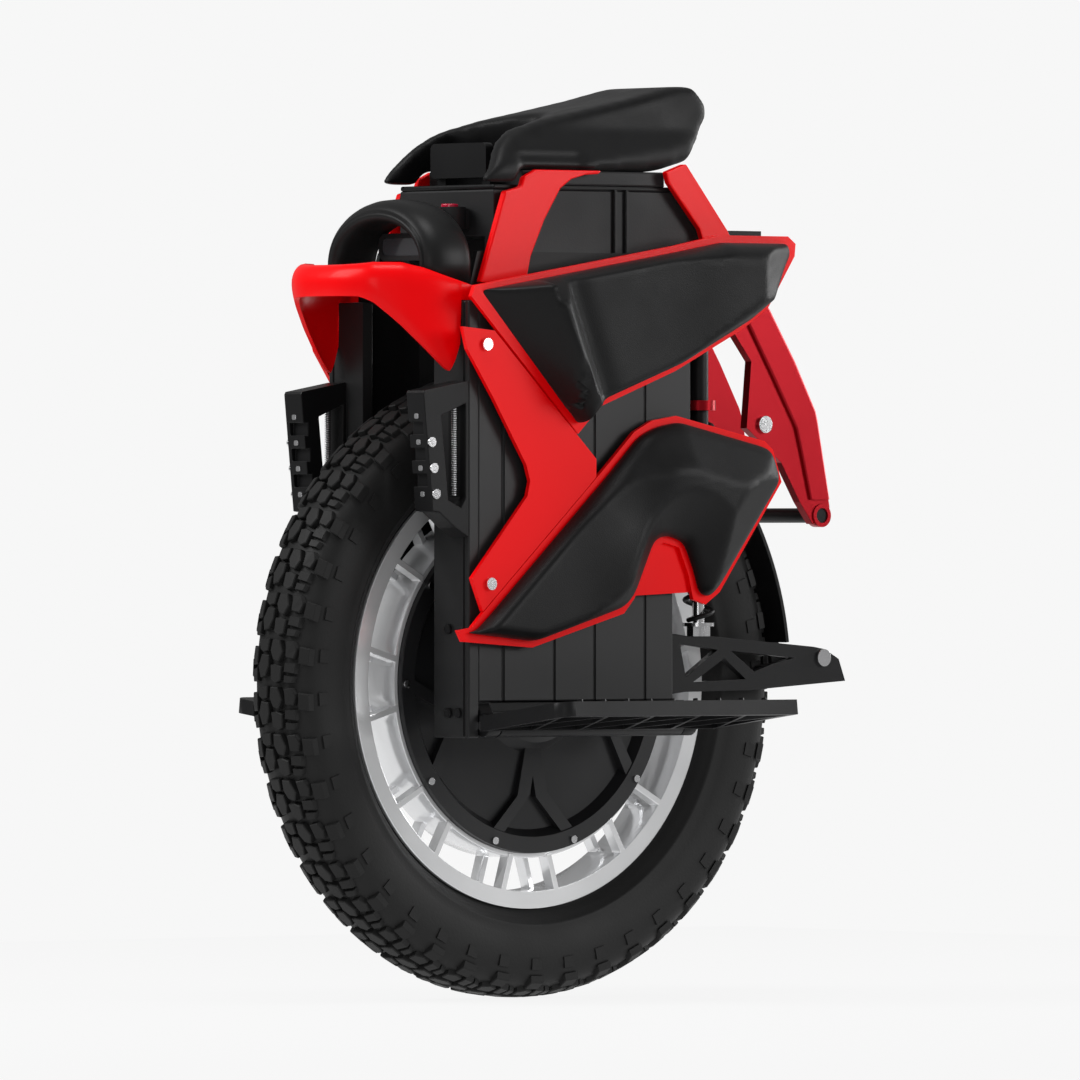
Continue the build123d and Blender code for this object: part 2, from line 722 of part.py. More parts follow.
with BuildPart() as lamp:
    with BuildSketch(Plane.YZ.offset(HOOD_REAR + 4)):
        with Locations((0, LAMP_Z)):
            RectangleRounded(70, 22, 8)
    extrude(amount=10)
    with BuildSketch(Plane.YZ.offset(HOOD_REAR + 10)):
        with Locations((0, LAMP_Z)):
            RectangleRounded(62, 14, 5)
    extrude(amount=6, mode=Mode.SUBTRACT)
save(lamp, "headlight_housing")

with BuildPart() as lens:
    with BuildSketch(Plane.YZ.offset(HOOD_REAR + 10)):
        with Locations((0, LAMP_Z)):
            RectangleRounded(62, 14, 5)
    extrude(amount=3)
save(lens, "headlight_lens")


COWL_PLAN = ((0, 0), (0.25, 1), (0.45, 5.5), (0.58, 11), (0.72, 24), (0.84, 39), (0.93, 56), (0.975, 71))


def cowl_edge(half, nose):
    """Plan points of the cowl from its left fold to its right fold, set back from the nose."""
    right = [(nose - back, -half * share) for share, back in COWL_PLAN[1:]] + [(COWL_FOLD, -half)]
    left = [(x, -y) for x, y in reversed(right)]
    return left + [(nose, 0)] + right


with BuildPart() as cowl:
    with BuildSketch(Plane.XY.offset(COWL_TIP)):
        with BuildLine():
            Spline(*cowl_edge(COWL_HALF, COWL_NOSE))
            Polyline((COWL_FOLD, -COWL_HALF), (COWL_REAR, -COWL_HALF), (COWL_REAR, COWL_WALL - COWL_HALF),
                     (COWL_FOLD, COWL_WALL - COWL_HALF))
            Spline(*reversed(cowl_edge(COWL_HALF - COWL_WALL, COWL_NOSE - COWL_WALL)))
            Polyline((COWL_FOLD, COWL_HALF - COWL_WALL), (COWL_REAR, COWL_HALF - COWL_WALL),
                     (COWL_REAR, COWL_HALF), (COWL_FOLD, COWL_HALF))
        make_face()
    extrude(amount=COWL_TOP - COWL_TIP)
    with BuildSketch(Plane.XZ):
        with BuildLine():
            Polyline((COWL_NOSE + 5, COWL_LIP), (COWL_NOSE - 8, COWL_LIP), (COWL_NOSE - 25, COWL_LIP - 14),
                     (COWL_NOSE - 41, COWL_LIP - 30), (COWL_NOSE - 59, COWL_LIP - 48),
                     (COWL_TIP_X, COWL_TIP),
                     (COWL_TIP_X, COWL_TIP - 5), (COWL_NOSE + 5, COWL_TIP - 5), close=True)
        make_face()
        with BuildLine():
            Polyline((COWL_REAR - 5, SHELL_TOP), (LEG_FRONT, SHELL_TOP), (LEG_FRONT, COWL_TIP + 24),
                     (COWL_TIP_X, COWL_TIP), (COWL_TIP_X, COWL_TIP - 5),
                     (COWL_REAR - 5, COWL_TIP - 5), close=True)
        make_face()
        with BuildLine():
            Polyline((COWL_REAR - 5, HOOD_SEAT), (COWL_REAR, HOOD_SEAT), (COWL_TIP_X, HOOD_SEAT + 8),
                     (COWL_NOSE - 35, COWL_TOP - 1), (COWL_NOSE + 5, COWL_TOP - 3),
                     (COWL_NOSE + 5, COWL_TOP + 5),
                     (COWL_REAR - 5, COWL_TOP + 5), close=True)
        make_face()
    extrude(amount=COWL_HALF + 5, both=True, mode=Mode.SUBTRACT)
save(cowl, "front_cowl")

with BuildPart() as button_base:
    with BuildSketch(Plane((BUTTON_X, BUTTON_Y, SEAT_RAIL - 34))):
        Circle(BUTTON_RADIUS + 6)
        Circle(BUTTON_RADIUS + 0.1, mode=Mode.SUBTRACT)
    extrude(amount=16)
    with BuildSketch(Plane((BUTTON_X, BUTTON_Y, SEAT_RAIL - 36))):
        Circle(BUTTON_RADIUS + 6)
    extrude(amount=2)
    with BuildSketch(Plane.XY.offset(SEAT_RAIL - 36)):
        with Locations(((CASE_FRONT + BUTTON_X - 9) / 2, BUTTON_Y)):
            Rectangle(BUTTON_X - 9 - CASE_FRONT, 16)
    extrude(amount=16)
save(button_base, "button_base")

with BuildPart() as button:
    with BuildSketch(Plane((BUTTON_X, BUTTON_Y, SEAT_RAIL - 34 + BUTTON_TRAVEL + 0.5))):
        Circle(BUTTON_RADIUS)
    extrude(amount=16)
    fillet(button.faces().sort_by(Axis.Z)[-1].edges(), 1)
save(button, "power_button")


# ---- Seat legs, rear arms ----

FRONT_LEG = [(92, 575), (66, SEAT_RAIL - 6), (49, SEAT_RAIL - 2), (46, SEAT_RAIL + 6), (33, SEAT_RAIL + 12),
             (-35, SEAT_RAIL + 12), (-33, SEAT_RAIL + 9.5), (-18, SEAT_RAIL + 8.5), (-4, SEAT_RAIL + 5),
             (8, SEAT_RAIL - 3), (25, SEAT_RAIL - 29), (39, 596), (44, 575)]
REAR_LEG = [(-103, SEAT_RAIL + 12), (-124, SEAT_RAIL + 19), (-168, SEAT_RAIL - 34), (-190, 585), (-186, 565),
            (-160, 565), (-139, SEAT_RAIL - 34), (-106, SEAT_RAIL + 3)]
ARM_OUTLINE = [(-166, 600), (-190, 600), (-228, 556), (-255, 514), (-276, 477), (-279, 469), (-294, 397),
               (-294, 384), (-276, 382), (-262, 400), (-242, 432), (-205, 460), (-210, 514), (-185, 545),
               (-166, 580)]


def make_front_leg(side):
    """Curved seat leg beside the controller case."""
    return side_plate(FRONT_LEG, side, FRAME_OUT, FRAME_OUT + ARCH_WALL)


def make_rear_leg(side):
    """Straight seat leg behind the controller case."""
    return side_plate(REAR_LEG, side, FRAME_OUT, FRAME_OUT + ARCH_WALL)


def make_arm(side):
    """Rear arm: plate from the arch's foot down to its eye, with a raised outer rib."""
    with BuildPart() as arm:
        slab(ARM_OUTLINE, side, ARM_IN, ARM_IN + ARM_WALL)
        with BuildSketch(side_plane(side, ARM_IN)):
            with Locations((EYE_X, EYE_Z)):
                Circle(9.5)
        extrude(amount=-side * (ARM_WALL + 1.5))
        with BuildSketch(side_plane(side, ARM_IN)):
            with Locations((EYE_X, EYE_Z)):
                Circle(TUBE_RADIUS)
        extrude(amount=-side * (ARM_WALL + 3), mode=Mode.SUBTRACT)
        with BuildSketch(side_plane(side, ARM_IN + ARM_WALL)):
            with Locations((-177, 586)):
                Rectangle(18, 24)
        extrude(amount=-side * (FRAME_OUT - ARM_IN - ARM_WALL))
    return arm


def make_arm_bolt(side):
    """Bolt head half way down a rear arm."""
    return bolt_group([(-223, 463)], side, ARM_IN + ARM_WALL, 7, 3)


with BuildPart() as arm_tube:
    with BuildSketch(Plane.XZ):
        with Locations((EYE_X, EYE_Z)):
            Circle(TUBE_RADIUS)
    extrude(amount=ARM_IN + ARM_WALL, both=True)
save(arm_tube, "arm_cross_tube")

for name, side in SIDES:
    save(make_arm(side), f"{name}_rear_arm")
save(both_sides(make_arm_bolt), "arm_bolts")
save(both_sides(make_front_leg), "seat_front_legs")
save(both_sides(make_rear_leg), "seat_rear_legs")


# ---- Side pads, their red plates and brackets ----

UPPER_TRIM = [(121, 572), (-88, 606), (-134, 615), (-208, 615), (-216, 609), (-215, 599), (-186, 556),
              (-159, 539),
              (-88, 505), (-9, 476), (14, 454), (125, 563)]
UPPER_PAD = [(115, 568), (-88, 601), (-134, 609), (-205, 609), (-209, 601), (-182, 561), (-156, 544),
             (-87, 510),
             (-6, 481), (14, 461)]
LOWER_TRIM = [(139, 297), (134, 288), (62, 283), (-34, 310), (-45, 322), (-66, 363), (-76, 367), (-92, 363),
              (-102, 341), (-107, 321), (-120, 317), (-135, 327), (-201, 416), (-192, 442), (-183, 449),
              (-89, 469), (-63, 465), (-45, 456), (-11, 424), (113, 311), (125, 299)]
LOWER_PAD = [(132, 295), (62, 288), (-31, 315), (-41, 325), (-62, 368), (-76, 373), (-96, 367), (-107, 343),
             (-112, 326), (-121, 323), (-131, 331), (-196, 417), (-188, 439), (-181, 444), (-89, 464),
             (-66, 460),
             (-48, 452), (-15, 420), (109, 307), (121, 297)]
BRACKET = [(134, 539), (101, 536), (-5, 434), (-5, 419.5), (3, 412), (113, 312), (124.5, 338.5),
           (67, 404), (64, 416),
           (68, 429), (102, 482), (129, 521)]


def make_trim(outline, bosses, side):
    """Backing plate of a pad, with bosses that stand on the battery case."""
    with BuildPart() as trim:
        slab(outline, side, TRIM_IN, TRIM_OUT)
        with BuildSketch(side_plane(side, SHELL_OUT)):
            with Locations(*bosses):
                Circle(7)
        extrude(amount=-side * (TRIM_IN - SHELL_OUT))
    return trim


def make_upper_trim(side):
    """Backing plate of an upper pad."""
    return make_trim(UPPER_TRIM, [(70, 545), (0, 515), (-80, 530)], side)


def make_lower_trim(side):
    """Backing plate of a lower pad."""
    return make_trim(LOWER_TRIM, [(60, 318), (20, 350), (-50, 400), (-80, 415)], side)


def make_bracket(side):
    """Bent bracket in front of the two pads."""
    return make_trim(BRACKET, [(100, 520), (97, 335), (15, 420)], side)


def make_bracket_bolts(side):
    """Bolt heads at the two ends of a bracket."""
    return bolt_group([(110, 525), (106, 334)], side, TRIM_OUT, BOLT_HEAD, 3)


def make_pad(outline, section, side):
    """Pad as a closed solid: the outline cut to a plan section."""
    reach = max(y for _, y in section)
    with BuildPart() as pad:
        slab(outline, side, TRIM_OUT, reach)
        with BuildSketch(Plane.XY.offset(250)):
            with BuildLine():
                Polyline(*[(x, side * y) for x, y in section], close=True)
            make_face()
        extrude(amount=400, mode=Mode.INTERSECT)
    return pad


UPPER_SECTION = [(118, TRIM_OUT), (50, TRIM_OUT + PAD_REACH), (28, TRIM_OUT + PAD_REACH - 1),
                 (6, TRIM_OUT + 22),
                 (-80, TRIM_OUT + 19), (-158, TRIM_OUT + 27), (-212, TRIM_OUT)]
LOWER_SECTION = [(134, TRIM_OUT), (110, TRIM_OUT + 14), (30, TRIM_OUT + 20), (-40, TRIM_OUT + 20),
                 (-90, TRIM_OUT + LOWER_PAD_REACH), (-165, TRIM_OUT + LOWER_PAD_REACH - 2), (-200, TRIM_OUT)]

for name, side in SIDES:
    save(make_pad(UPPER_PAD, UPPER_SECTION, side), f"{name}_upper_pad")
    save(make_pad(LOWER_PAD, LOWER_SECTION, side), f"{name}_lower_pad")
save(both_sides(make_upper_trim), "upper_pad_trims")
save(both_sides(make_lower_trim), "lower_pad_trims")
save(both_sides(make_bracket), "pad_brackets")
save(both_sides(make_bracket_bolts), "bracket_bolts")


# ---- Seat ----

SEAT_SIDE = [(88, 0), (62, 31), (50, 40), (36, 46), (5, 54), (-32, 61), (-87, 72), (-129, 82), (-154, 83),
             (-168, 68), (-169, 58), (-140, 21), (-101, 12), (47, 12), (50, 0)]
SEAT_PLAN = [(88, SEAT_HALF), (-20, SEAT_HALF), (-60, 64), (-120, 58), (-160, 52), (-170, 44), (-170, -44),
             (-160, -52), (-120, -58), (-60, -64), (-20, -SEAT_HALF), (88, -SEAT_HALF)]
SEAT_END = [(SEAT_HALF, -14), (SEAT_HALF, 14), (48, 46), (46, 90), (-46, 90), (-48, 46), (-SEAT_HALF, 14),
            (-SEAT_HALF, -14)]
MOUTH = [(-25, 0), (-15, 16), (10, 30), (30, 34), (92, 36), (92, -36), (30, -34), (10, -30), (-15, -16)]
MOUTH_END = [(57, -14), (57, 8), (36, 42), (-36, 42), (-57, 8), (-57, -14)]

with BuildPart() as seat:
    with BuildSketch(Plane.XZ):
        with Locations((0, SEAT_RAIL)):
            Polygon(*SEAT_SIDE, align=None)
    extrude(amount=SEAT_HALF, both=True)
    with BuildSketch(Plane.XY.offset(SEAT_RAIL - 14)):
        Polygon(*SEAT_PLAN, align=None)
    extrude(amount=SEAT_REACH, mode=Mode.INTERSECT)
    with BuildSketch(Plane.YZ):
        with Locations((0, SEAT_RAIL)):
            Polygon(*SEAT_END, align=None)
    extrude(amount=2 * SEAT_REACH, both=True, mode=Mode.INTERSECT)
    with BuildSketch(Plane.XY.offset(SEAT_RAIL - 14)):
        Polygon(*MOUTH, align=None)
    extrude(amount=SEAT_REACH, mode=Mode.SUBTRACT)
    with BuildSketch(Plane.YZ.offset(30)):
        with Locations((0, SEAT_RAIL)):
            Polygon(*MOUTH_END, align=None)
    extrude(amount=SEAT_REACH, mode=Mode.SUBTRACT)
save(seat, "seat_cushion")

with BuildPart() as seat_base:
    with BuildSketch(Plane.XY.offset(SEAT_RAIL)):
        with Locations((-35, 0)):
            Rectangle(150, 2 * FRAME_IN)
    extrude(amount=12)
save(seat_base, "seat_base")

with BuildPart() as grip:
    with BuildSketch(Plane.YZ.offset(CASE_FRONT - 20)):
        with Locations((0, SEAT_RAIL + 20)):
            RectangleRounded(70, 28, 5)
    extrude(amount=8)
    with BuildSketch(Plane.YZ.offset(40)):
        with Locations((-28, SEAT_RAIL + 9), (28, SEAT_RAIL + 9)):
            Rectangle(10, 18)
    extrude(amount=12)
save(grip, "carry_grip")


# ---- Pedals ----

def pedal_plane(side):
    """Plane of a pedal in its riding position: origin on the hinge, tilted up outwards."""
    tilt = radians(PEDAL_TILT)
    return Plane((0, side * PEDAL_Y, PEDAL_Z), x_dir=(1, 0, 0), z_dir=(0, -side * sin(tilt), cos(tilt)))


def make_pedal(side):
    """Pedal: rimmed plate with a lattice under its deck and a barrel round the hinge pin."""
    out = (PEDAL_INNER + PEDAL_REACH) / 2
    with BuildPart() as pedal:
        with BuildSketch(pedal_plane(side).offset(-PEDAL_RIM / 2)):
            with Locations((0, side * out)):
                outline = Rectangle(2 * PEDAL_HALF, PEDAL_REACH - PEDAL_INNER)
            corners = outline.vertices().group_by(Axis.Y)[-1 if side > 0 else 0]
            fillet(corners.sort_by(Axis.X)[-1], PEDAL_CORNER)
        extrude(amount=PEDAL_RIM)
        with BuildSketch(pedal_plane(side).offset(-PEDAL_RIM / 2)):
            with Locations((0, side * out)):
                Rectangle(2 * PEDAL_HALF - 12, PEDAL_REACH - PEDAL_INNER - 12)
            for x in (-96, -48, 0, 48, 96):
                with Locations((x, side * out)):
                    Rectangle(3, PEDAL_REACH, rotation=side * 28, mode=Mode.SUBTRACT)
                    Rectangle(3, PEDAL_REACH, rotation=side * -28, mode=Mode.SUBTRACT)
        extrude(amount=PEDAL_RIM - 3, mode=Mode.SUBTRACT)
        with BuildSketch(Plane.YZ.offset(-BARREL_HALF)):
            with Locations((side * PEDAL_Y, PEDAL_Z)):
                Circle(BARREL_RADIUS)
        extrude(amount=2 * BARREL_HALF)
        with BuildSketch(pedal_plane(side).offset(-4)):
            with Locations((0, side * (PEDAL_INNER + 4) / 2)):
                Rectangle(2 * BARREL_HALF - 10, PEDAL_INNER + 4)
        extrude(amount=8)
        with BuildSketch(Plane.YZ.offset(-BARREL_HALF - 1)):
            with Locations((side * PEDAL_Y, PEDAL_Z)):
                Circle(PIN_RADIUS + RUNNING)
        extrude(amount=2 * BARREL_HALF + 2, mode=Mode.SUBTRACT)
    return pedal


def make_hanger(side):
    """Pedal hanger under the battery case, with a lug round each end of the hinge pin."""
    with BuildPart() as hanger:
        with BuildSketch(Plane.XY.offset(SHELL_FLOOR - 8)):
            with Locations((0, side * (FRAME_OUT + 11))):
                Rectangle(2 * (BARREL_HALF + 14), 22)
        extrude(amount=8)
        for end in (-BARREL_HALF - 14, BARREL_HALF + 1):
            with BuildSketch(Plane.YZ.offset(end)):
                with Locations((side * PEDAL_Y, PEDAL_Z)):
                    Circle(BARREL_RADIUS)
                with BuildLine():
                    Polyline((side * (FRAME_OUT + 2), SHELL_FLOOR - 1),
                             (side * (FRAME_OUT + 22), SHELL_FLOOR - 1),
                             (side * PEDAL_Y, PEDAL_Z + BARREL_RADIUS - 1), (side * PEDAL_Y, PEDAL_Z - 9),
                             (side * (FRAME_OUT + 2), PEDAL_Z), close=True)
                make_face()
                with Locations((side * PEDAL_Y, PEDAL_Z)):
                    Circle(PIN_RADIUS, mode=Mode.SUBTRACT)
            extrude(amount=13)
    return hanger


def make_pin(side):
    """Pedal hinge pin."""
    with BuildPart() as pin:
        with BuildSketch(Plane.YZ.offset(-BARREL_HALF - 15)):
            with Locations((side * PEDAL_Y, PEDAL_Z)):
                Circle(PIN_RADIUS)
        extrude(amount=2 * (BARREL_HALF + 15))
    return pin


for name, side in SIDES:
    save(make_pedal(side), f"{name}_pedal")
save(both_sides(make_hanger), "pedal_hangers")
save(both_sides(make_pin), "pedal_pins")
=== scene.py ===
import math

import bmesh
import bpy
from mathutils import Matrix, Vector
from mathutils.geometry import delaunay_2d_cdt


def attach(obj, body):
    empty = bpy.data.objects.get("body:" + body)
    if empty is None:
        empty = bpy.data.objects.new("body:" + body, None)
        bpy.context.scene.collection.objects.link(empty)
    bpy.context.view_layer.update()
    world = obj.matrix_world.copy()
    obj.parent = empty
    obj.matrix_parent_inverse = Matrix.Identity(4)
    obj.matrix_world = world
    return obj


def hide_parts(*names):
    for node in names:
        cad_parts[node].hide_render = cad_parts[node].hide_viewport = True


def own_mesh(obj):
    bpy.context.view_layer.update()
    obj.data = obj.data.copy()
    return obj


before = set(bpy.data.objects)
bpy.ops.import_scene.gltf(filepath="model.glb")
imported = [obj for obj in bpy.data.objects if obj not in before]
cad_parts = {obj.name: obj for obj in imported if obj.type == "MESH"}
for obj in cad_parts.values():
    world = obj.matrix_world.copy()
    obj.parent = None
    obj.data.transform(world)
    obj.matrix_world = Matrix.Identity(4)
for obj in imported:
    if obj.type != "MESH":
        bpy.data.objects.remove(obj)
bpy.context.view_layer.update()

scene = bpy.context.scene

# ---- Studio ----
# A pale sweep of floor that glows as bright as the room behind it, so no horizon shows. Soft boxes
# stand over the nose, beside the left flank and behind the tail; the rest of the room is dim.

NEAR_CORNER = math.radians(140.15)
LENS_DISTANCE = 12.0
VIEW_WIDTH = 0.871
ROOM_WHITE = 0.93
ROOM_LIGHT = 0.26
FAR_CLIP = 60.0
sight = Vector((math.sin(NEAR_CORNER), -math.cos(NEAR_CORNER), 0.0))
aim = Vector((-0.0164, 0.0137, 0.369))
camera = bpy.data.objects.new("camera", bpy.data.cameras.new("camera"))
scene.collection.objects.link(camera)
camera.location = aim + LENS_DISTANCE * sight
camera.rotation_euler = (-sight).to_track_quat("-Z", "Y").to_euler()
camera.data.lens = camera.data.sensor_width * LENS_DISTANCE / VIEW_WIDTH
camera.data.clip_end = FAR_CLIP
scene.camera = camera
scene.view_settings.view_transform = "Standard"

world = bpy.data.worlds.new("studio")
scene.world = world
world.use_nodes = True
sky = world.node_tree
dim_room = sky.nodes["Background"]
dim_room.inputs["Color"].default_value = (1.0, 1.0, 1.0, 1.0)
dim_room.inputs["Strength"].default_value = ROOM_LIGHT
backdrop = sky.nodes.new("ShaderNodeBackground")
backdrop.inputs["Color"].default_value = (ROOM_WHITE, ROOM_WHITE, ROOM_WHITE, 1.0)
ray = sky.nodes.new("ShaderNodeLightPath")
pick = sky.nodes.new("ShaderNodeMixShader")
sky.links.new(ray.outputs["Is Camera Ray"], pick.inputs["Fac"])
sky.links.new(dim_room.outputs["Background"], pick.inputs[1])
sky.links.new(backdrop.outputs["Background"], pick.inputs[2])
sky.links.new(pick.outputs["Shader"], sky.nodes["World Output"].inputs["Surface"])

SOFT_BOXES = (
    ("nose_box", (1.9, -0.9, 2.0), 1.5, 46.0),
    ("flank_box", (-2.0, 2.7, 1.3), 1.3, 38.0),
    ("tail_box", (-2.7, 0.2, 0.9), 1.0, 20.0),
    ("top_box", (0.2, 0.5, 2.9), 1.0, 22.0),
    ("front_box", (2.6, 2.2, 0.9), 1.2, 9.0),
)
for name, place, size, power in SOFT_BOXES:
    lamp = bpy.data.lights.new(name, "AREA")
    lamp.energy = power
    lamp.size = size
    holder = bpy.data.objects.new(name, lamp)
    holder.location = place
    holder.rotation_euler = (Vector(place) - aim).to_track_quat("Z", "Y").to_euler()
    scene.collection.objects.link(holder)

FLOOR_REACH = 1.6
FLOOR_DROP = 0.0006
FLOOR_GLOW = 0.885
FLOOR_TONE = 0.05
corners = [(x * FLOOR_REACH, y * FLOOR_REACH, -FLOOR_DROP) for x, y in ((-1, -1), (1, -1), (1, 1), (-1, 1))]
ground = bpy.data.meshes.new("floor")
ground.from_pydata(corners, [], [(0, 1, 2, 3)])
floor = bpy.data.objects.new("floor", ground)
scene.collection.objects.link(floor)
sweep = bpy.data.materials.new("floor_paint")
sweep.use_nodes = True
wash = sweep.node_tree.nodes["Principled BSDF"]
wash.inputs["Roughness"].default_value = 1.0
wash.inputs["Specular IOR Level"].default_value = 0.0
wash.inputs["Emission Strength"].default_value = FLOOR_GLOW
wash.inputs["Emission Color"].default_value = (1.0, 1.0, 1.0, 1.0)
wash.inputs["Base Color"].default_value = (FLOOR_TONE, FLOOR_TONE, FLOOR_TONE, 1.0)
ground.materials.append(sweep)


# ---- Tyre ----
# Wide knobbly road-and-dirt tyre of black rubber. Low moulded blocks stand close together on a round
# crown, and a ring of small square lugs runs down each shoulder.

AXLE = Vector((0.0, 0.0, 0.254))
CROWN = 249.0
CROWN_HALF = 30.0
CROWN_DROP = 7.4
TREAD_PITCHES = 42
BLOCK_HEIGHT = 4.7
BLOCK_SINK = 1.5
BLOCK_FOOT = 1.04
BLOCK_TOP = 0.9
BLOCK_EDGE = 0.7
OUTER_ROW = 16.0
OUTER_ROW_DROP = 0.6
LUG_HALF = 5.5
LUG_RADII = (222.0, 231.0)
LUG_LEVELS = (-1.5, 1.1)
LUG_PLACES = ((-6.0, 1), (9.0, -1))
SHOULDER = 35.3
ROUND_STEPS = 168
CASING = [(182.5, 17.0), (186.0, 22.5), (190.0, 26.4), (193.0, 28.6), (194.0, 29.9), (196.0, 30.8), (197.0, 30.6),
          (204.0, 33.4), (216.0, 35.2), (226.0, 35.4), (233.0, 34.6), (238.0, 32.4), (242.0, 29.2), (245.3, 24.0),
          (247.4, 17.0), (248.6, 9.0), (249.0, 0.0)]
CAVITY = [(238.0, 0.0), (236.5, 14.0), (226.0, 27.0), (202.0, 25.5), (184.0, 15.0), (173.2, 11.0), (173.2, 16.6)]
TREAD = (
    [(-17, 2), (-8, 0.6), (-1, 4.5), (0.5, 11), (-7, 14.6), (-16.5, 10.5)],
    [(3.2, 1.8), (14, 2.6), (17.4, 8), (15, 13.6), (4.6, 14.4), (2.6, 8)],
    [(-4.5, -1.2), (4, -0.8), (11.5, -4.4), (13, -11), (4, -14.4), (-5.5, -10.2)],
    [(-17.6, -1.6), (-8.2, -2.6), (-7, -9), (-9.5, -13.4), (-17, -13.8)],
    [(-15.5, 16.6), (-3, 17.4), (-1.8, 24.6), (-9, 26.6), (-16, 23.8)],
    [(1.2, 17.2), (8.5, 16.2), (10, 25.8), (1.6, 26.6)],
    [(11.2, 16.8), (17, 16.4), (17.4, 23.8), (12.2, 25.2)],
    [(-11.5, -16.6), (2, -17.2), (3, -24.8), (-3.5, -26.8), (-12.4, -24.6)],
    [(5, -16.8), (15.6, -16.4), (16.4, -23.6), (6.4, -26.2)],
    [(-12, 28.4), (1.6, 28.2), (3, 34.6), (-10.6, 34.8)],
    [(-2.4, -28.6), (11.8, -28.2), (12.4, -34.6), (-1.4, -34.8)],
)


def crown_radius(y):
    """Radius of the casing under the tread at a distance from the wheel's middle plane."""
    return CROWN - CROWN_DROP * (abs(y) / CROWN_HALF) ** 3.0


def on_tyre(along, y, lift):
    """Point over the crown, in metres from the axle: a length along the tread, across it and above it."""
    turn = along / CROWN
    radius = crown_radius(y) + lift
    return Vector((radius * math.sin(turn), y, radius * math.cos(turn))) / 1000.0


def walls(mesh, rings):
    """Faces between each ring of points and the next."""
    for low, high in zip(rings, rings[1:]):
        for n in range(len(low)):
            k = (n + 1) % len(low)
            mesh.faces.new((low[n], low[k], high[k], high[n]))


def block(mesh, outline, lift):
    """Tread block with sloping walls and a broken upper edge."""
    cx = sum(p[0] for p in outline) / len(outline)
    cy = sum(p[1] for p in outline) / len(outline)
    rings = []
    for height, share in ((-BLOCK_SINK, BLOCK_FOOT), (lift - BLOCK_EDGE, 1.0), (lift, BLOCK_TOP)):
        rings.append([mesh.verts.new(on_tyre(cx + (x - cx) * share, cy + (y - cy) * share, height))
                      for x, y in outline])
    walls(mesh, rings)
    mesh.faces.new(rings[-1])
    mesh.faces.new(list(reversed(rings[0])))


def lug(mesh, along, side):
    """Small square lug on a shoulder, low and slightly sunk into it."""
    corners = []
    low, high = LUG_RADII
    for height in LUG_LEVELS:
        for dx, radius in ((-LUG_HALF, low), (LUG_HALF, low), (LUG_HALF, high), (-LUG_HALF, high)):
            turn = (along + dx) / CROWN
            y = side * (SHOULDER + height)
            corners.append(mesh.verts.new(Vector((radius * math.sin(turn), y, radius * math.cos(turn))) / 1000.0))
    for face in ((0, 1, 2, 3), (4, 5, 6, 7), (0, 1, 5, 4), (1, 2, 6, 5), (2, 3, 7, 6), (3, 0, 4, 7)):
        mesh.faces.new([corners[k] for k in face])


def finished(name, mesh, smooth=True):
    """Object at the origin that holds a bmesh whose faces have been turned outwards."""
    bmesh.ops.recalc_face_normals(mesh, faces=mesh.faces)
    data = bpy.data.meshes.new(name)
    mesh.to_mesh(data)
    mesh.free()
    if smooth:
        data.shade_smooth()
    piece = bpy.data.objects.new(name, data)
    scene.collection.objects.link(piece)
    return piece


def repeat_tree():
    """Geometry Nodes tree: copies of a unit, each one step and one turn on from the last."""
    tree = bpy.data.node_groups.new("repeat unit", "GeometryNodeTree")
    tree.interface.new_socket("Geometry", in_out="INPUT", socket_type="NodeSocketGeometry")
    tree.interface.new_socket("Count", in_out="INPUT", socket_type="NodeSocketInt")
    tree.interface.new_socket("Step", in_out="INPUT", socket_type="NodeSocketVector")
    tree.interface.new_socket("Turn", in_out="INPUT", socket_type="NodeSocketVector")
    tree.interface.new_socket("Finish", in_out="INPUT", socket_type="NodeSocketMaterial")
    tree.interface.new_socket("Geometry", in_out="OUTPUT", socket_type="NodeSocketGeometry")
    start = tree.nodes.new("NodeGroupInput")
    end = tree.nodes.new("NodeGroupOutput")
    row = tree.nodes.new("GeometryNodeMeshLine")
    index = tree.nodes.new("GeometryNodeInputIndex")
    angle = tree.nodes.new("ShaderNodeVectorMath")
    angle.operation = "SCALE"
    placed = tree.nodes.new("GeometryNodeInstanceOnPoints")
    real = tree.nodes.new("GeometryNodeRealizeInstances")
    coat = tree.nodes.new("GeometryNodeSetMaterial")
    tree.links.new(start.outputs["Count"], row.inputs["Count"])
    tree.links.new(start.outputs["Step"], row.inputs["Offset"])
    tree.links.new(row.outputs["Mesh"], placed.inputs["Points"])
    tree.links.new(start.outputs["Geometry"], placed.inputs["Instance"])
    tree.links.new(start.outputs["Turn"], angle.inputs[0])
    tree.links.new(index.outputs["Index"], angle.inputs["Scale"])
    tree.links.new(angle.outputs["Vector"], placed.inputs["Rotation"])
    tree.links.new(placed.outputs["Instances"], real.inputs["Geometry"])
    tree.links.new(real.outputs["Geometry"], coat.inputs["Geometry"])
    tree.links.new(start.outputs["Finish"], coat.inputs["Material"])
    tree.links.new(coat.outputs["Geometry"], end.inputs["Geometry"])
    return tree


REPEAT = repeat_tree()


def repeated(piece, count, step, turn, paint, centre=Vector((0.0, 0.0, 0.0))):
    """Turn a unit piece into a plain mesh of its copies and set it down at a centre."""
    grid = piece.modifiers.new("repeat", "NODES")
    grid.node_group = REPEAT
    values = {"Count": count, "Step": step, "Turn": turn, "Finish": paint}
    for socket in REPEAT.interface.items_tree:
        if socket.in_out == "INPUT" and socket.name in values:
            grid[socket.identifier] = values[socket.name]
    piece.update_tag()
    graph = bpy.context.evaluated_depsgraph_get()
    data = bpy.data.meshes.new_from_object(piece.evaluated_get(graph))
    piece.modifiers.remove(grid)
    data.transform(Matrix.Translation(centre))
    piece.data = data
    return piece


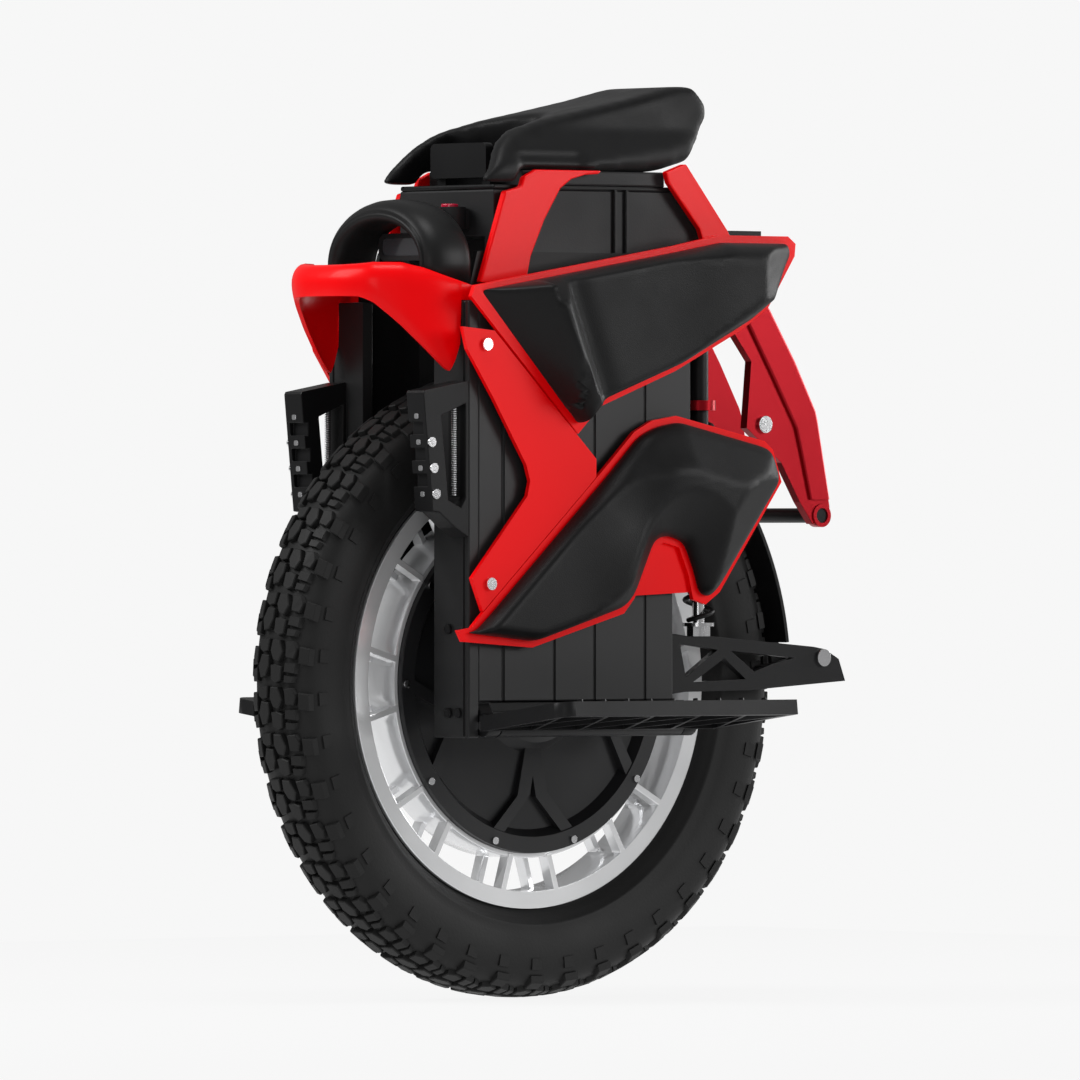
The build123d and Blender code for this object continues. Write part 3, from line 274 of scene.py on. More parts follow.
def joined(name, parts, paint, body):
    """One piece made of several finished meshes that share a body and a finish."""
    mesh = bmesh.new()
    for part in parts:
        mesh.from_mesh(part.data)
        bpy.data.objects.remove(part)
    data = bpy.data.meshes.new(name)
    mesh.to_mesh(data)
    mesh.free()
    data.materials.clear()
    data.materials.append(paint)
    piece = bpy.data.objects.new(name, data)
    scene.collection.objects.link(piece)
    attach(piece, body)
    return piece


def surface_grain():
    """Shader group: Scale in; fine Height for the bump and a slow Mottle for colour and gloss out."""
    tree = bpy.data.node_groups.new("surface grain", "ShaderNodeTree")
    tree.interface.new_socket("Scale", in_out="INPUT", socket_type="NodeSocketFloat")
    tree.interface.new_socket("Height", in_out="OUTPUT", socket_type="NodeSocketFloat")
    tree.interface.new_socket("Mottle", in_out="OUTPUT", socket_type="NodeSocketFloat")
    start = tree.nodes.new("NodeGroupInput")
    end = tree.nodes.new("NodeGroupOutput")
    where = tree.nodes.new("ShaderNodeTexCoord")
    fine = tree.nodes.new("ShaderNodeTexNoise")
    fine.inputs["Detail"].default_value = 4.0
    slow = tree.nodes.new("ShaderNodeTexNoise")
    slow.inputs["Scale"].default_value = 9.0
    slow.inputs["Detail"].default_value = 3.0
    tree.links.new(where.outputs["Object"], fine.inputs["Vector"])
    tree.links.new(where.outputs["Object"], slow.inputs["Vector"])
    tree.links.new(start.outputs["Scale"], fine.inputs["Scale"])
    tree.links.new(fine.outputs["Fac"], end.inputs["Height"])
    tree.links.new(slow.outputs["Fac"], end.inputs["Mottle"])
    return tree


GRAIN = surface_grain()


def finish(name, dark, light, rough, metallic=0.0, scale=900.0, bump=0.03, coat=0.0, group=GRAIN, depth=0.0004,
           sheen=0.0, shine=0.3):
    """Material whose colour and gloss drift between two values and whose bump is a fine grain."""
    mat = bpy.data.materials.new(name)
    mat.use_nodes = True
    tree = mat.node_tree
    skin = tree.nodes["Principled BSDF"]
    skin.inputs["Metallic"].default_value = metallic
    skin.inputs["Coat Weight"].default_value = coat
    skin.inputs["Coat Roughness"].default_value = 0.12
    skin.inputs["Specular IOR Level"].default_value = shine
    skin.inputs["Sheen Weight"].default_value = sheen
    grain = tree.nodes.new("ShaderNodeGroup")
    grain.node_tree = group
    grain.inputs["Scale"].default_value = scale
    tint = tree.nodes.new("ShaderNodeMix")
    tint.data_type = "RGBA"
    tint.inputs["A"].default_value = (*dark, 1.0)
    tint.inputs["B"].default_value = (*light, 1.0)
    gloss = tree.nodes.new("ShaderNodeMapRange")
    gloss.inputs["From Min"].default_value = 0.3
    gloss.inputs["From Max"].default_value = 0.7
    gloss.inputs["To Min"].default_value = rough[0]
    gloss.inputs["To Max"].default_value = rough[1]
    relief = tree.nodes.new("ShaderNodeBump")
    relief.inputs["Strength"].default_value = bump
    relief.inputs["Distance"].default_value = depth
    tree.links.new(grain.outputs[1], tint.inputs["Factor"])
    tree.links.new(grain.outputs[1], gloss.inputs["Value"])
    tree.links.new(grain.outputs["Height"], relief.inputs["Height"])
    tree.links.new(tint.outputs["Result"], skin.inputs["Base Color"])
    tree.links.new(gloss.outputs["Result"], skin.inputs["Roughness"])
    tree.links.new(relief.outputs["Normal"], skin.inputs["Normal"])
    return mat


def wear(paint, *names):
    """Give CAD pieces a finish."""
    for name in names:
        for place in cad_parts[name].material_slots:
            place.material = paint


WELD_GAP = 0.00001
SHARP = math.radians(32.0)


def soften(width, *names):
    """Break the sharp edges of CAD pieces with a narrow bevel."""
    for name in names:
        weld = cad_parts[name].modifiers.new("weld", "WELD")
        weld.merge_threshold = WELD_GAP
        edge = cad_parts[name].modifiers.new("edge", "BEVEL")
        edge.width = width
        edge.segments = 2
        edge.limit_method = "ANGLE"
        edge.angle_limit = SHARP
        edge.use_clamp_overlap = True


tyre_rubber = finish("tyre_rubber", (0.008, 0.008, 0.008), (0.015, 0.015, 0.015), (0.5, 0.66), scale=420.0,
                     bump=0.3, shine=0.2)
loop = CASING + [(r, -y) for r, y in reversed(CASING[:-1])]
loop += [(r, -y) for r, y in reversed(CAVITY[1:])] + CAVITY
mesh = bmesh.new()
hoops = []
for n in range(ROUND_STEPS):
    turn = 2 * math.pi * n / ROUND_STEPS
    hoops.append([mesh.verts.new(Vector((r * math.sin(turn), y, r * math.cos(turn))) / 1000.0) for r, y in loop])
walls(mesh, hoops + hoops[:1])
casing = finished("tyre_casing", mesh)
casing.data.transform(Matrix.Translation(AXLE))

mesh = bmesh.new()
for outline in TREAD:
    block(mesh, outline, BLOCK_HEIGHT if abs(outline[0][1]) < OUTER_ROW else BLOCK_HEIGHT - OUTER_ROW_DROP)
for along, side in LUG_PLACES:
    lug(mesh, along, side)
tread = repeated(finished("tyre_tread", mesh, smooth=False), TREAD_PITCHES, (0.0, 0.0, 0.0),
                 (0.0, 2 * math.pi / TREAD_PITCHES, 0.0), tyre_rubber, AXLE)
tyre = joined("knobbly_tyre", (casing, tread), tyre_rubber, "wheel")
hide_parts("tyre")


# ---- Rim and motor ----
# Polished cast rim with eight pairs of slim spokes. The hub motor's black side covers are dished, with
# five forked blades, and are held by bright screws; inside are the magnets, the stator and bearings.

cast_silver = finish("cast_silver", (0.84, 0.85, 0.86), (0.92, 0.92, 0.93), (0.14, 0.22), metallic=0.6,
                     scale=300.0, bump=0.04)
motor_black = finish("motor_black", (0.006, 0.006, 0.0065), (0.011, 0.011, 0.012), (0.3, 0.42), scale=1300.0,
                     bump=0.12)
bright_steel = finish("bright_steel", (0.74, 0.74, 0.75), (0.86, 0.86, 0.87), (0.12, 0.22), metallic=1.0,
                      scale=900.0, bump=0.05)
dark_iron = finish("dark_iron", (0.05, 0.05, 0.055), (0.09, 0.09, 0.095), (0.4, 0.55), metallic=0.9,
                   scale=500.0, bump=0.2)
wear(cast_silver, "rim")
wear(motor_black, "left_motor_cover", "right_motor_cover")
wear(bright_steel, "axle", "axle_nuts", "wheel_bearings", "motor_cover_bolts")
wear(dark_iron, "motor_stator", "magnet_ring")
soften(0.0008, "rim", "motor_cover_bolts", "axle_nuts")


# ---- Wheel carrier and shock absorbers ----
# Black machined plates hold the axle and slide in the frame; trusses run back from them to the mudguard.
# A coil-over damper stands on each truss, with a red collar on a black body. Its spring sits under
# the collar as one rigid piece fixed to the frame, so it does not shorten as the wheel rises.

powder_black = finish("powder_black", (0.005, 0.005, 0.0054), (0.009, 0.009, 0.0095), (0.36, 0.46),
                      scale=1500.0, bump=0.18, shine=0.18)
red_anodised = finish("red_anodised", (0.3, 0.002, 0.007), (0.38, 0.004, 0.012), (0.28, 0.36), metallic=0.7,
                      scale=1600.0, bump=0.1)
wear(powder_black, "left_carrier_plate", "right_carrier_plate", "rear_stays", "stay_cross_tube", "mudguard",
     "shock_bodies")
wear(bright_steel, "stay_bolts", "shock_shafts")
wear(red_anodised, "shock_collars")
soften(0.001, "rear_stays", "left_carrier_plate", "right_carrier_plate", "stay_bolts")
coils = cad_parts["shock_springs"].data.copy()
coils.materials.clear()
coils.materials.append(powder_black)
springs = bpy.data.objects.new("coil_springs", coils)
scene.collection.objects.link(springs)
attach(springs, "frame")
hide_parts("shock_springs")
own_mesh(springs)


# ---- Battery cases and front legs ----
# Tall black cases with vertical grooves are bolted outside the two chassis plates, and each holds a
# battery pack. A flat leg closes the front of each case down to the pedal, with hex screws in it.

shell_black = finish("shell_black", (0.012, 0.012, 0.0125), (0.017, 0.017, 0.0175), (0.34, 0.44), scale=1300.0,
                     bump=0.14)
cell_blue = finish("cell_blue", (0.02, 0.04, 0.14), (0.03, 0.05, 0.18), (0.3, 0.4), scale=300.0, bump=0.1)
wear(shell_black, "left_battery_case", "right_battery_case", "front_legs")
wear(powder_black, "left_side_frame", "right_side_frame", "leg_bolts")
wear(cell_blue, "battery_packs")
soften(0.0012, "left_battery_case", "right_battery_case", "front_legs", "leg_bolts")


# ---- Front blocks ----
# Finned black alloy blocks stand on the legs beside the tyre. Each has three bright screws down its outer
# edge, four small square studs on its front face and a ridged rod behind its side window.

RIDGES = 39
STUDS = 4
STUD_SIZE = (2.0, 5.0, 4.2)
STUD_TOP = (164.6, 77.5, 467.6)
STUD_STEP = (-0.0021, 0.0, -0.0207)
ROD_RADIUS = 2.6
ROD_FOOT = (128.0, 80.0, 405.0)
RIDGE_HEIGHT = 1.3
RIDGE_STEP = (0.0, 0.0, 0.0018)
EDGE_BREAK = 0.0006
STILL = (0.0, 0.0, 0.0)
satin_steel = finish("satin_steel", (0.55, 0.55, 0.56), (0.68, 0.68, 0.69), (0.25, 0.35), metallic=1.0,
                     scale=900.0, bump=0.05)
wear(powder_black, "front_blocks")
wear(bright_steel, "block_bolts")
soften(0.0008, "front_blocks", "block_bolts")


def brick(mesh, centre, size):
    """Box in a bmesh from its centre and full sizes, in millimetres."""
    made = bmesh.ops.create_cube(mesh, size=1.0)
    matrix = Matrix.Translation(Vector(centre) / 1000.0) @ Matrix.Diagonal((*[s / 1000.0 for s in size], 1.0))
    bmesh.ops.transform(mesh, matrix=matrix, verts=made["verts"])


def puck(mesh, centre, radius, height, sides):
    """Short upright prism or disc in a bmesh, in millimetres."""
    made = bmesh.ops.create_cone(mesh, cap_ends=True, segments=sides, radius1=radius / 1000.0,
                                 radius2=radius * 0.86 / 1000.0, depth=height / 1000.0)
    bmesh.ops.transform(mesh, matrix=Matrix.Translation(Vector(centre) / 1000.0), verts=made["verts"])


studs, rods = [], []
for side in (1, -1):
    mesh = bmesh.new()
    brick(mesh, (STUD_TOP[0], side * STUD_TOP[1], STUD_TOP[2]), STUD_SIZE)
    bmesh.ops.bevel(mesh, geom=mesh.edges[:], offset=EDGE_BREAK, segments=2, affect="EDGES")
    studs.append(repeated(finished("stud", mesh, smooth=False), STUDS, STUD_STEP, STILL, satin_steel))
    mesh = bmesh.new()
    puck(mesh, (ROD_FOOT[0], side * ROD_FOOT[1], ROD_FOOT[2]), ROD_RADIUS, RIDGE_HEIGHT, 12)
    rods.append(repeated(finished("ridge", mesh), RIDGES, RIDGE_STEP, STILL, satin_steel))
joined("block_studs", studs, satin_steel, "frame")
joined("ridged_rods", rods, satin_steel, "frame")


# ---- Controller case and deck ----
# Black moulded bridge over the tyre that holds the control board under a lid. Two pairs of upright ribs
# stiffen each side, and a thin plate stands out behind it.

RIB_PAIRS = (50.0, -56.0)
RIB_SIDE = 60.4
RIB_LEVEL = 614.0
RIB_SIZE = (3.0, 3.2, 74.0)
RIB_STEP = (-0.012, 0.0, 0.0)
moulded_black = finish("moulded_black", (0.009, 0.009, 0.0095), (0.014, 0.014, 0.015), (0.42, 0.55),
                       scale=700.0, bump=0.2)
board_green = finish("board_green", (0.01, 0.07, 0.03), (0.015, 0.1, 0.04), (0.35, 0.5), scale=200.0, bump=0.1)
wear(moulded_black, "controller_case", "seat_base")
wear(powder_black, "controller_lid", "rear_deck", "carry_grip")
wear(board_green, "controller_board")
soften(0.0015, "controller_case", "carry_grip", "seat_base", "controller_lid")
ribs = []
for side in (1, -1):
    for x in RIB_PAIRS:
        mesh = bmesh.new()
        brick(mesh, (x, side * RIB_SIDE, RIB_LEVEL), RIB_SIZE)
        bmesh.ops.bevel(mesh, geom=mesh.edges[:], offset=EDGE_BREAK, segments=2, affect="EDGES")
        ribs.append(repeated(finished("rib", mesh, smooth=False), 2, RIB_STEP, STILL, moulded_black))
joined("case_ribs", ribs, moulded_black, "frame")


# ---- Hood, headlight and button ----
# Fat satin-black arch moulded over the nose, with a slim headlight set back inside it. The red power
# button sits in a small cup behind it and springs back after each press.

HOOD_HALF = 60.0
HOOD_SPRING = 590.0
HOOD_FOOT = 572.2
HOOD_RISE = 42.0
HOOD_BACK = 98.0
HOOD_DEPTH = 46.0
HOOD_SWELL = 10.0
HOOD_FLAT = 4.5
SQUARENESS = 0.62
HOOD_STEPS = 56
SECTION_STEPS = 28
satin_black = finish("satin_black", (0.007, 0.007, 0.0072), (0.011, 0.011, 0.0112), (0.36, 0.44), scale=900.0,
                     bump=0.05, shine=0.2)
button_gloss = finish("button_gloss", (0.5, 0.0, 0.03), (0.6, 0.01, 0.05), (0.15, 0.25), scale=500.0, bump=0.02,
                      coat=0.6)
smoked_lens = finish("smoked_lens", (0.03, 0.03, 0.035), (0.05, 0.05, 0.055), (0.04, 0.08), scale=200.0,
                     bump=0.02, coat=1.0)
wear(moulded_black, "button_base", "headlight_housing")
wear(button_gloss, "power_button")
wear(smoked_lens, "headlight_lens")

path = [(Vector((-HOOD_HALF, HOOD_FOOT)), Vector((-1.0, 0.0)))]
for n in range(HOOD_STEPS + 1):
    turn = math.pi * n / HOOD_STEPS
    flat = Vector((-HOOD_HALF * math.cos(turn), HOOD_SPRING + HOOD_RISE * math.sin(turn)))
    out = Vector((-HOOD_RISE * math.cos(turn), HOOD_HALF * math.sin(turn))).normalized()
    path.append((flat, out))
path.append((Vector((HOOD_HALF, HOOD_FOOT)), Vector((1.0, 0.0))))
mesh = bmesh.new()
loops = []
for flat, out in path:
    ring = []
    for k in range(SECTION_STEPS):
        turn = 2 * math.pi * k / SECTION_STEPS
        c, s = math.cos(turn), math.sin(turn)
        reach = HOOD_DEPTH / 2 * math.copysign(abs(c) ** SQUARENESS, c)
        swell = HOOD_SWELL * math.copysign(abs(s) ** SQUARENESS, s)
        if swell > 0:
            swell -= HOOD_FLAT * max(0.0, reach / (HOOD_DEPTH / 2)) ** 2
        point = flat + out * swell
        ring.append(mesh.verts.new(Vector((HOOD_BACK + HOOD_DEPTH / 2 + reach, point.x, point.y)) / 1000.0))
    loops.append(ring)
walls(mesh, loops)
mesh.faces.new(loops[0])
mesh.faces.new(list(reversed(loops[-1])))
hood = finished("hood_arch", mesh)
hood.data.materials.append(satin_black)
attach(hood, "frame")
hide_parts("front_hood")


# ---- Front cowl ----
# Gloss red visor moulded in one piece round the nose. Its top rolls inwards, its lip rises over the tyre,
# and a pointed prong hangs down on each side in front of the legs.

COWL_PLAN = [(204.0, 0.0), (203.6, 12.0), (203.0, 20.0), (201.0, 29.0), (198.5, 36.0), (193.0, 46.4), (187.5, 52.5),
             (180.0, 57.6), (172.0, 63.0), (165.0, 67.2), (156.0, 71.2), (148.0, 74.4), (140.0, 76.8),
             (133.0, 78.0), (128.0, 78.8), (121.0, 79.6), (119.9, 79.7), (113.0, 79.9), (107.2, 79.95)]
COWL_LOW = [(107.0, 560.5), (119.95, 560.5), (120.0, 529.0), (122.0, 522.0), (126.0, 511.0), (130.0, 503.5),
            (134.0, 505.5), (145.0, 515.5), (163.0, 533.5), (179.0, 549.5), (188.0, 558.0), (196.0, 563.0),
            (205.0, 563.5)]
COWL_HIGH = [(107.0, 571.5), (130.0, 579.0), (150.0, 586.0), (168.0, 590.5), (190.0, 590.5), (205.0, 588.5)]
COWL_THICK = 3.6
COWL_SPACING = 2.2
COWL_ROLL = 16.0
TOP_TURN = 11.0
LIP_TURN = 2.6
SIDE_END = 110.0
NOSE_START = 160.0
red_paint = finish("red_paint", (0.92, 0.0, 0.0015), (0.98, 0.0, 0.0025), (0.3, 0.36), bump=0.03, coat=0.08,
                   shine=0.12)


def level(line, x):
    """Height of a line of points at x."""
    for (x0, z0), (x1, z1) in zip(line, line[1:]):
        if x <= x1:
            return z0 + (z1 - z0) * max(0.0, (x - x0) / (x1 - x0))
    return line[-1][1]


half_plan = [Vector(COWL_PLAN[0])]
for a, b in zip(COWL_PLAN, COWL_PLAN[1:]):
    a, b = Vector(a), Vector(b)
    parts = max(1, round((b - a).length / COWL_SPACING))
    half_plan += [a.lerp(b, (k + 1) / parts) for k in range(parts)]
for _ in range(6):
    kept = half_plan[:]
    for n in range(1, len(kept) - 8):
        half_plan[n] = (kept[n - 1] + 2 * kept[n] + kept[n + 1]) / 4
plan = [Vector((p.x, -p.y)) for p in reversed(half_plan[1:])] + half_plan
OUTER = [0.0, 0.04, 0.1, 0.2, 0.32, 0.44, 0.56, 0.66, 0.75, 0.82, 0.88, 0.93, 0.97, 1.0]
mesh = bmesh.new()
loops = []
for n, p in enumerate(plan):
    run = (plan[min(n + 1, len(plan) - 1)] - plan[max(n - 1, 0)]).normalized()
    out = Vector((run.y, -run.x))
    low, high = level(COWL_LOW, p.x), level(COWL_HIGH, p.x)
    roll = min(COWL_ROLL, (high - low) * 0.6)
    nose = min(1.0, max(0.0, (p.x - SIDE_END) / (NOSE_START - SIDE_END)))
    face = []
    for share in OUTER:
        z = low + (high - low) * share
        over = max(0.0, (z - (high - roll)) / roll)
        under = max(0.0, 1 - (z - low) / COWL_ROLL)
        back = nose * (TOP_TURN * (1 - math.sqrt(max(0.0, 1 - over ** 2))) + LIP_TURN * under ** 2)
        face.append((back, z))
    inner = [(back + COWL_THICK, min(z, high - COWL_THICK * nose)) for back, z in reversed(face)]
    ring = [mesh.verts.new(Vector((*(p - out * back), z)) / 1000.0) for back, z in face + inner]
    loops.append(ring)
walls(mesh, loops)
mesh.faces.new(loops[0])
mesh.faces.new(list(reversed(loops[-1])))
bmesh.ops.remove_doubles(mesh, verts=mesh.verts, dist=1e-6)
cowl = finished("cowl_visor", mesh)
cowl.data.set_sharp_from_angle(angle=math.radians(40.0))
cowl.data.materials.append(red_paint)
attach(cowl, "frame")
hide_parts("front_cowl")


# ---- Seat legs and rear arms ----
# Red plates cut from sheet: curved front legs and straight rear ones under the seat, and long arms that
# reach down behind the wheel to a cross tube. Each arm is stiffened by a raised band along its back edge.

BAND_OUTER = [(-192, 598), (-228, 556), (-255, 514), (-277, 474), (-279, 467), (-292, 402)]
BAND_ROWS = ((49.6, 0.0), (52.2, 0.0), (52.8, 0.06))
BAND_INNER = [(-178, 588), (-206, 543), (-232, 501), (-256, 461), (-262, 440), (-272, 402)]
wear(red_paint, "seat_front_legs", "seat_rear_legs")
wear(red_anodised, "left_rear_arm", "right_rear_arm")
wear(powder_black, "arm_cross_tube")
wear(bright_steel, "arm_bolts")
soften(0.0014, "seat_front_legs", "seat_rear_legs", "left_rear_arm", "right_rear_arm", "arm_bolts")
bands = []
for side in (1, -1):
    mesh = bmesh.new()
    rows = []
    for depth, share in BAND_ROWS:
        left = [Vector(a).lerp(Vector(b), share) for a, b in zip(BAND_OUTER, BAND_INNER)]
        right = [Vector(b).lerp(Vector(a), share) for a, b in zip(BAND_OUTER, BAND_INNER)]
        rows.append([mesh.verts.new((p.x / 1000, side * depth / 1000, p.y / 1000)) for p in left + right[::-1]])
    walls(mesh, rows)
    count = len(rows[0])
    for n in range(count // 2 - 1):
        for row in (rows[0], rows[-1]):
            mesh.faces.new((row[n], row[n + 1], row[count - 2 - n], row[count - 1 - n]))
    bands.append(finished("band", mesh, smooth=False))
joined("arm_bands", bands, red_anodised, "frame")


# ---- Side pads ----
# Knee and calf pads: foam under a leather-like cover, clamped over red plates that show as a thin rim.
# The upper pad has a wedge, a scoop and a long flat face; the lower one swells behind to a creased lobe,
# and a thin red web closes the notch under it.

PLATE_FACE = 98.0
PAD_SPACING = 4.5
PAD_RIM = 2.0
INSETS = (0.5, 1.4, 2.8, 4.6, 7.0, 10.0)
GRID_INSET = 12.5
WEDGE_HEIGHT = 36.5
CREST_FOOT = (23.0, 469.0)
CREST_SLOPE = 0.384
WEDGE_FOOT = (14.0, 461.0)
WEDGE_SLOPE = 0.944
FACE_HEIGHT = 19.0
FACE_SWELL = 8.0
SCOOP_BACK = 30.0
SCOOP_DEPTH = 3.0
REAR_EDGE = -214.0
REAR_BEVEL = 52.0
SLIM_HEIGHT = 15.0
LOBE_SWELL = 14.5
CUP_DEPTH = 7.0
CUP_SPOT = (-38.0, 405.0)
CUP_HALF = (34.0, 42.0)
UPPER_CORNERS = [(115, 568), (-88, 601), (-134, 609), (-205, 609), (-209, 601), (-182, 561), (-156, 544),
                 (-87, 510), (-6, 481), (14, 461)]
LOWER_CORNERS = [(132, 295), (62, 288), (-31, 315), (-41, 325), (-62, 368), (-76, 373), (-96, 367), (-107, 343),
                 (-112, 326), (-121, 323), (-131, 331), (-196, 417), (-188, 439), (-181, 444), (-89, 464),
                 (-66, 460), (-48, 452), (-15, 420), (109, 307), (121, 297)]
NOTCH = [(-41, 324), (-50, 344), (-62, 368), (-76, 373), (-96, 367), (-107, 343), (-111, 327)]
WEB_DEPTH = (92.6, 94.6)


def leather_grain():
    """Shader group: pebbled skin. Scale in; pebble Height and slow Wrinkle out."""
    tree = bpy.data.node_groups.new("leather grain", "ShaderNodeTree")
    tree.interface.new_socket("Scale", in_out="INPUT", socket_type="NodeSocketFloat")
    tree.interface.new_socket("Height", in_out="OUTPUT", socket_type="NodeSocketFloat")
    tree.interface.new_socket("Wrinkle", in_out="OUTPUT", socket_type="NodeSocketFloat")
    start = tree.nodes.new("NodeGroupInput")
    end = tree.nodes.new("NodeGroupOutput")
    where = tree.nodes.new("ShaderNodeTexCoord")
    cells = tree.nodes.new("ShaderNodeTexVoronoi")
    cells.feature = "DISTANCE_TO_EDGE"
    soft = tree.nodes.new("ShaderNodeMath")
    soft.operation = "MINIMUM"
    soft.inputs[1].default_value = 0.25
    slow = tree.nodes.new("ShaderNodeTexNoise")
    slow.inputs["Scale"].default_value = 26.0
    slow.inputs["Detail"].default_value = 5.0
    slow.inputs["Distortion"].default_value = 0.8
    tree.links.new(where.outputs["Object"], cells.inputs["Vector"])
    tree.links.new(where.outputs["Object"], slow.inputs["Vector"])
    tree.links.new(start.outputs["Scale"], cells.inputs["Scale"])
    tree.links.new(cells.outputs["Distance"], soft.inputs[0])
    tree.links.new(soft.outputs["Value"], end.inputs["Height"])
    tree.links.new(slow.outputs["Fac"], end.inputs["Wrinkle"])
    return tree


LEATHER = leather_grain()
cover_leather = finish("cover_leather", (0.005, 0.005, 0.0052), (0.009, 0.009, 0.0094), (0.38, 0.5),
                       scale=620.0, bump=0.3, group=LEATHER, depth=0.0005, sheen=0.03, shine=0.16)
wear(red_paint, "upper_pad_trims", "lower_pad_trims", "pad_brackets")
wear(bright_steel, "bracket_bolts")
soften(0.0012, "upper_pad_trims", "lower_pad_trims", "pad_brackets", "bracket_bolts")


def smooth(t):
    """Smooth step from 0 to 1."""
    t = min(max(t, 0.0), 1.0)
    return t * t * (3 - 2 * t)


def edge_distance(p, ring):
    """Distance from a point to the nearest run of a closed outline."""
    best = 1e9
    for n, a in enumerate(ring):
        b = ring[(n + 1) % len(ring)]
        run = b - a
        t = min(max((p - a).dot(run) / max(run.length_squared, 1e-9), 0.0), 1.0)
        best = min(best, (p - a - t * run).length)
    return best


def inside(p, ring):
    """True if a point lies within a closed outline."""
    odd = False
    for n, a in enumerate(ring):
        b = ring[(n + 1) % len(ring)]
        if (a.y > p.y) != (b.y > p.y) and p.x < (b.x - a.x) * (p.y - a.y) / (b.y - a.y) + a.x:
            odd = not odd
    return odd


def rounded(corners, cut, steps=4):
    """Outline with its corners turned into short curves."""
    ring = []
    for n, c in enumerate(corners):
        c = Vector(c)
        before = Vector(corners[n - 1]) - c
        after = Vector(corners[(n + 1) % len(corners)]) - c
        a = c + before.normalized() * min(cut, before.length * 0.45)
        b = c + after.normalized() * min(cut, after.length * 0.45)
        for k in range(steps + 1):
            t = k / steps
            ring.append((1 - t) ** 2 * a + 2 * t * (1 - t) * c + t * t * b)
    return ring


def pad_cover(name, corners, cut, roll, height, side):
    """Closed pad on its plate: a height over an outline, whose edge curves down to the plate."""
    ring = rounded(corners, cut)
    fine = []
    for n, a in enumerate(ring):
        b = ring[(n + 1) % len(ring)]
        parts = max(1, round((b - a).length / PAD_SPACING))
        fine += [a.lerp(b, k / parts) for k in range(parts)]
    points = list(fine)
    x_low, x_high = min(p.x for p in fine), max(p.x for p in fine)
    y_low, y_high = min(p.y for p in fine), max(p.y for p in fine)
    for inset in INSETS:
        for n, p in enumerate(fine):
            run = (fine[(n + 1) % len(fine)] - fine[n - 1]).normalized()
            for q in (p + inset * Vector((run.y, -run.x)), p - inset * Vector((run.y, -run.x))):
                if inside(q, ring) and edge_distance(q, ring) > inset * 0.93:
                    points.append(q)
    for row in range(int((y_high - y_low) / PAD_SPACING) + 1):
        for column in range(int((x_high - x_low) / PAD_SPACING) + 1):
            p = Vector((x_low + (column + 0.5 * (row % 2)) * PAD_SPACING, y_low + row * PAD_SPACING))
            if inside(p, ring) and edge_distance(p, ring) > GRID_INSET:
                points.append(p)
    edges = [(n, (n + 1) % len(fine)) for n in range(len(fine))]
    flat, _, faces, _, _, _ = delaunay_2d_cdt(points, edges, [list(range(len(fine)))], 1, 1e-5)
    mesh = bmesh.new()
    upper, lower = [], []
    for p in flat:
        d = edge_distance(p, ring)
        top = height(p.x, p.y, d)
        rim = min(PAD_RIM, top * 0.5)
        if d < 1e-3:
            point = mesh.verts.new((p.x / 1000, side * (PLATE_FACE + rim) / 1000, p.y / 1000))
            upper.append(point)
            lower.append(point)
            continue
        bulge = math.sqrt(max(0.0, 1 - (1 - min(d / roll, 1.0)) ** 2))
        lift = rim + (top - rim) * bulge
        upper.append(mesh.verts.new((p.x / 1000, side * (PLATE_FACE + lift) / 1000, p.y / 1000)))
        lower.append(mesh.verts.new((p.x / 1000, side * (PLATE_FACE + 0.05) / 1000, p.y / 1000)))
    for face in faces:
        mesh.faces.new([upper[k] for k in face])
        if {lower[k] for k in face} != {upper[k] for k in face}:
            mesh.faces.new([lower[k] for k in reversed(face)])
    pad = finished(name, mesh)
    pad.data.materials.append(cover_leather)
    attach(pad, "frame")
    return pad


def upper_height(x, z, d):
    """Wedge, scoop, flat face and rear bevel of an upper pad."""
    crest = CREST_FOOT[0] + (z - CREST_FOOT[1]) * CREST_SLOPE
    front = WEDGE_FOOT[0] + (z - WEDGE_FOOT[1]) * WEDGE_SLOPE
    if x > crest:
        return WEDGE_HEIGHT * max(0.0, 1 - (x - crest) / max(front - crest, 1.0))
    back = crest - x
    face = FACE_HEIGHT + FACE_SWELL * smooth((-60 - x) / 90)
    scoop = SCOOP_DEPTH * math.exp(-((back - SCOOP_BACK) / 12) ** 2)
    lift = face + (WEDGE_HEIGHT - face) * (1 - smooth(back / SCOOP_BACK)) - scoop
    lift *= min(1.0, max(0.0, (x - REAR_EDGE) / REAR_BEVEL))
    return min(lift, 14 + d * 1.15)


def lower_height(x, z, d):
    """Calf cup of a lower pad: slim in front, with a creased bevel round its swollen rear lobe."""
    lobe = smooth((30 - x) / 100)
    cup = CUP_DEPTH * math.exp(-((x - CUP_SPOT[0]) / CUP_HALF[0]) ** 2 - ((z - CUP_SPOT[1]) / CUP_HALF[1]) ** 2)
    bevel = 8 + 4 * (1 - lobe) + d * (0.55 + 0.25 * (1 - lobe))
    return min(SLIM_HEIGHT + LOBE_SWELL * lobe - cup, bevel)


for name, side in (("left", 1), ("right", -1)):
    pad = pad_cover(f"{name}_upper_cover", UPPER_CORNERS, 5, 6.0, upper_height, side)
    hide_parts(f"{name}_upper_pad")
    pad = pad_cover(f"{name}_lower_cover", LOWER_CORNERS, 8, 8.0, lower_height, side)
    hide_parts(f"{name}_lower_pad")

webs = []
for side in (1, -1):
    mesh = bmesh.new()
    sheets = [[mesh.verts.new((x / 1000, side * depth / 1000, z / 1000)) for x, z in NOTCH] for depth in WEB_DEPTH]
    mesh.faces.new(sheets[0])
    mesh.faces.new(sheets[1])
    walls(mesh, sheets)
    webs.append(finished("web", mesh, smooth=False))
joined("notch_webs", webs, red_paint, "frame")


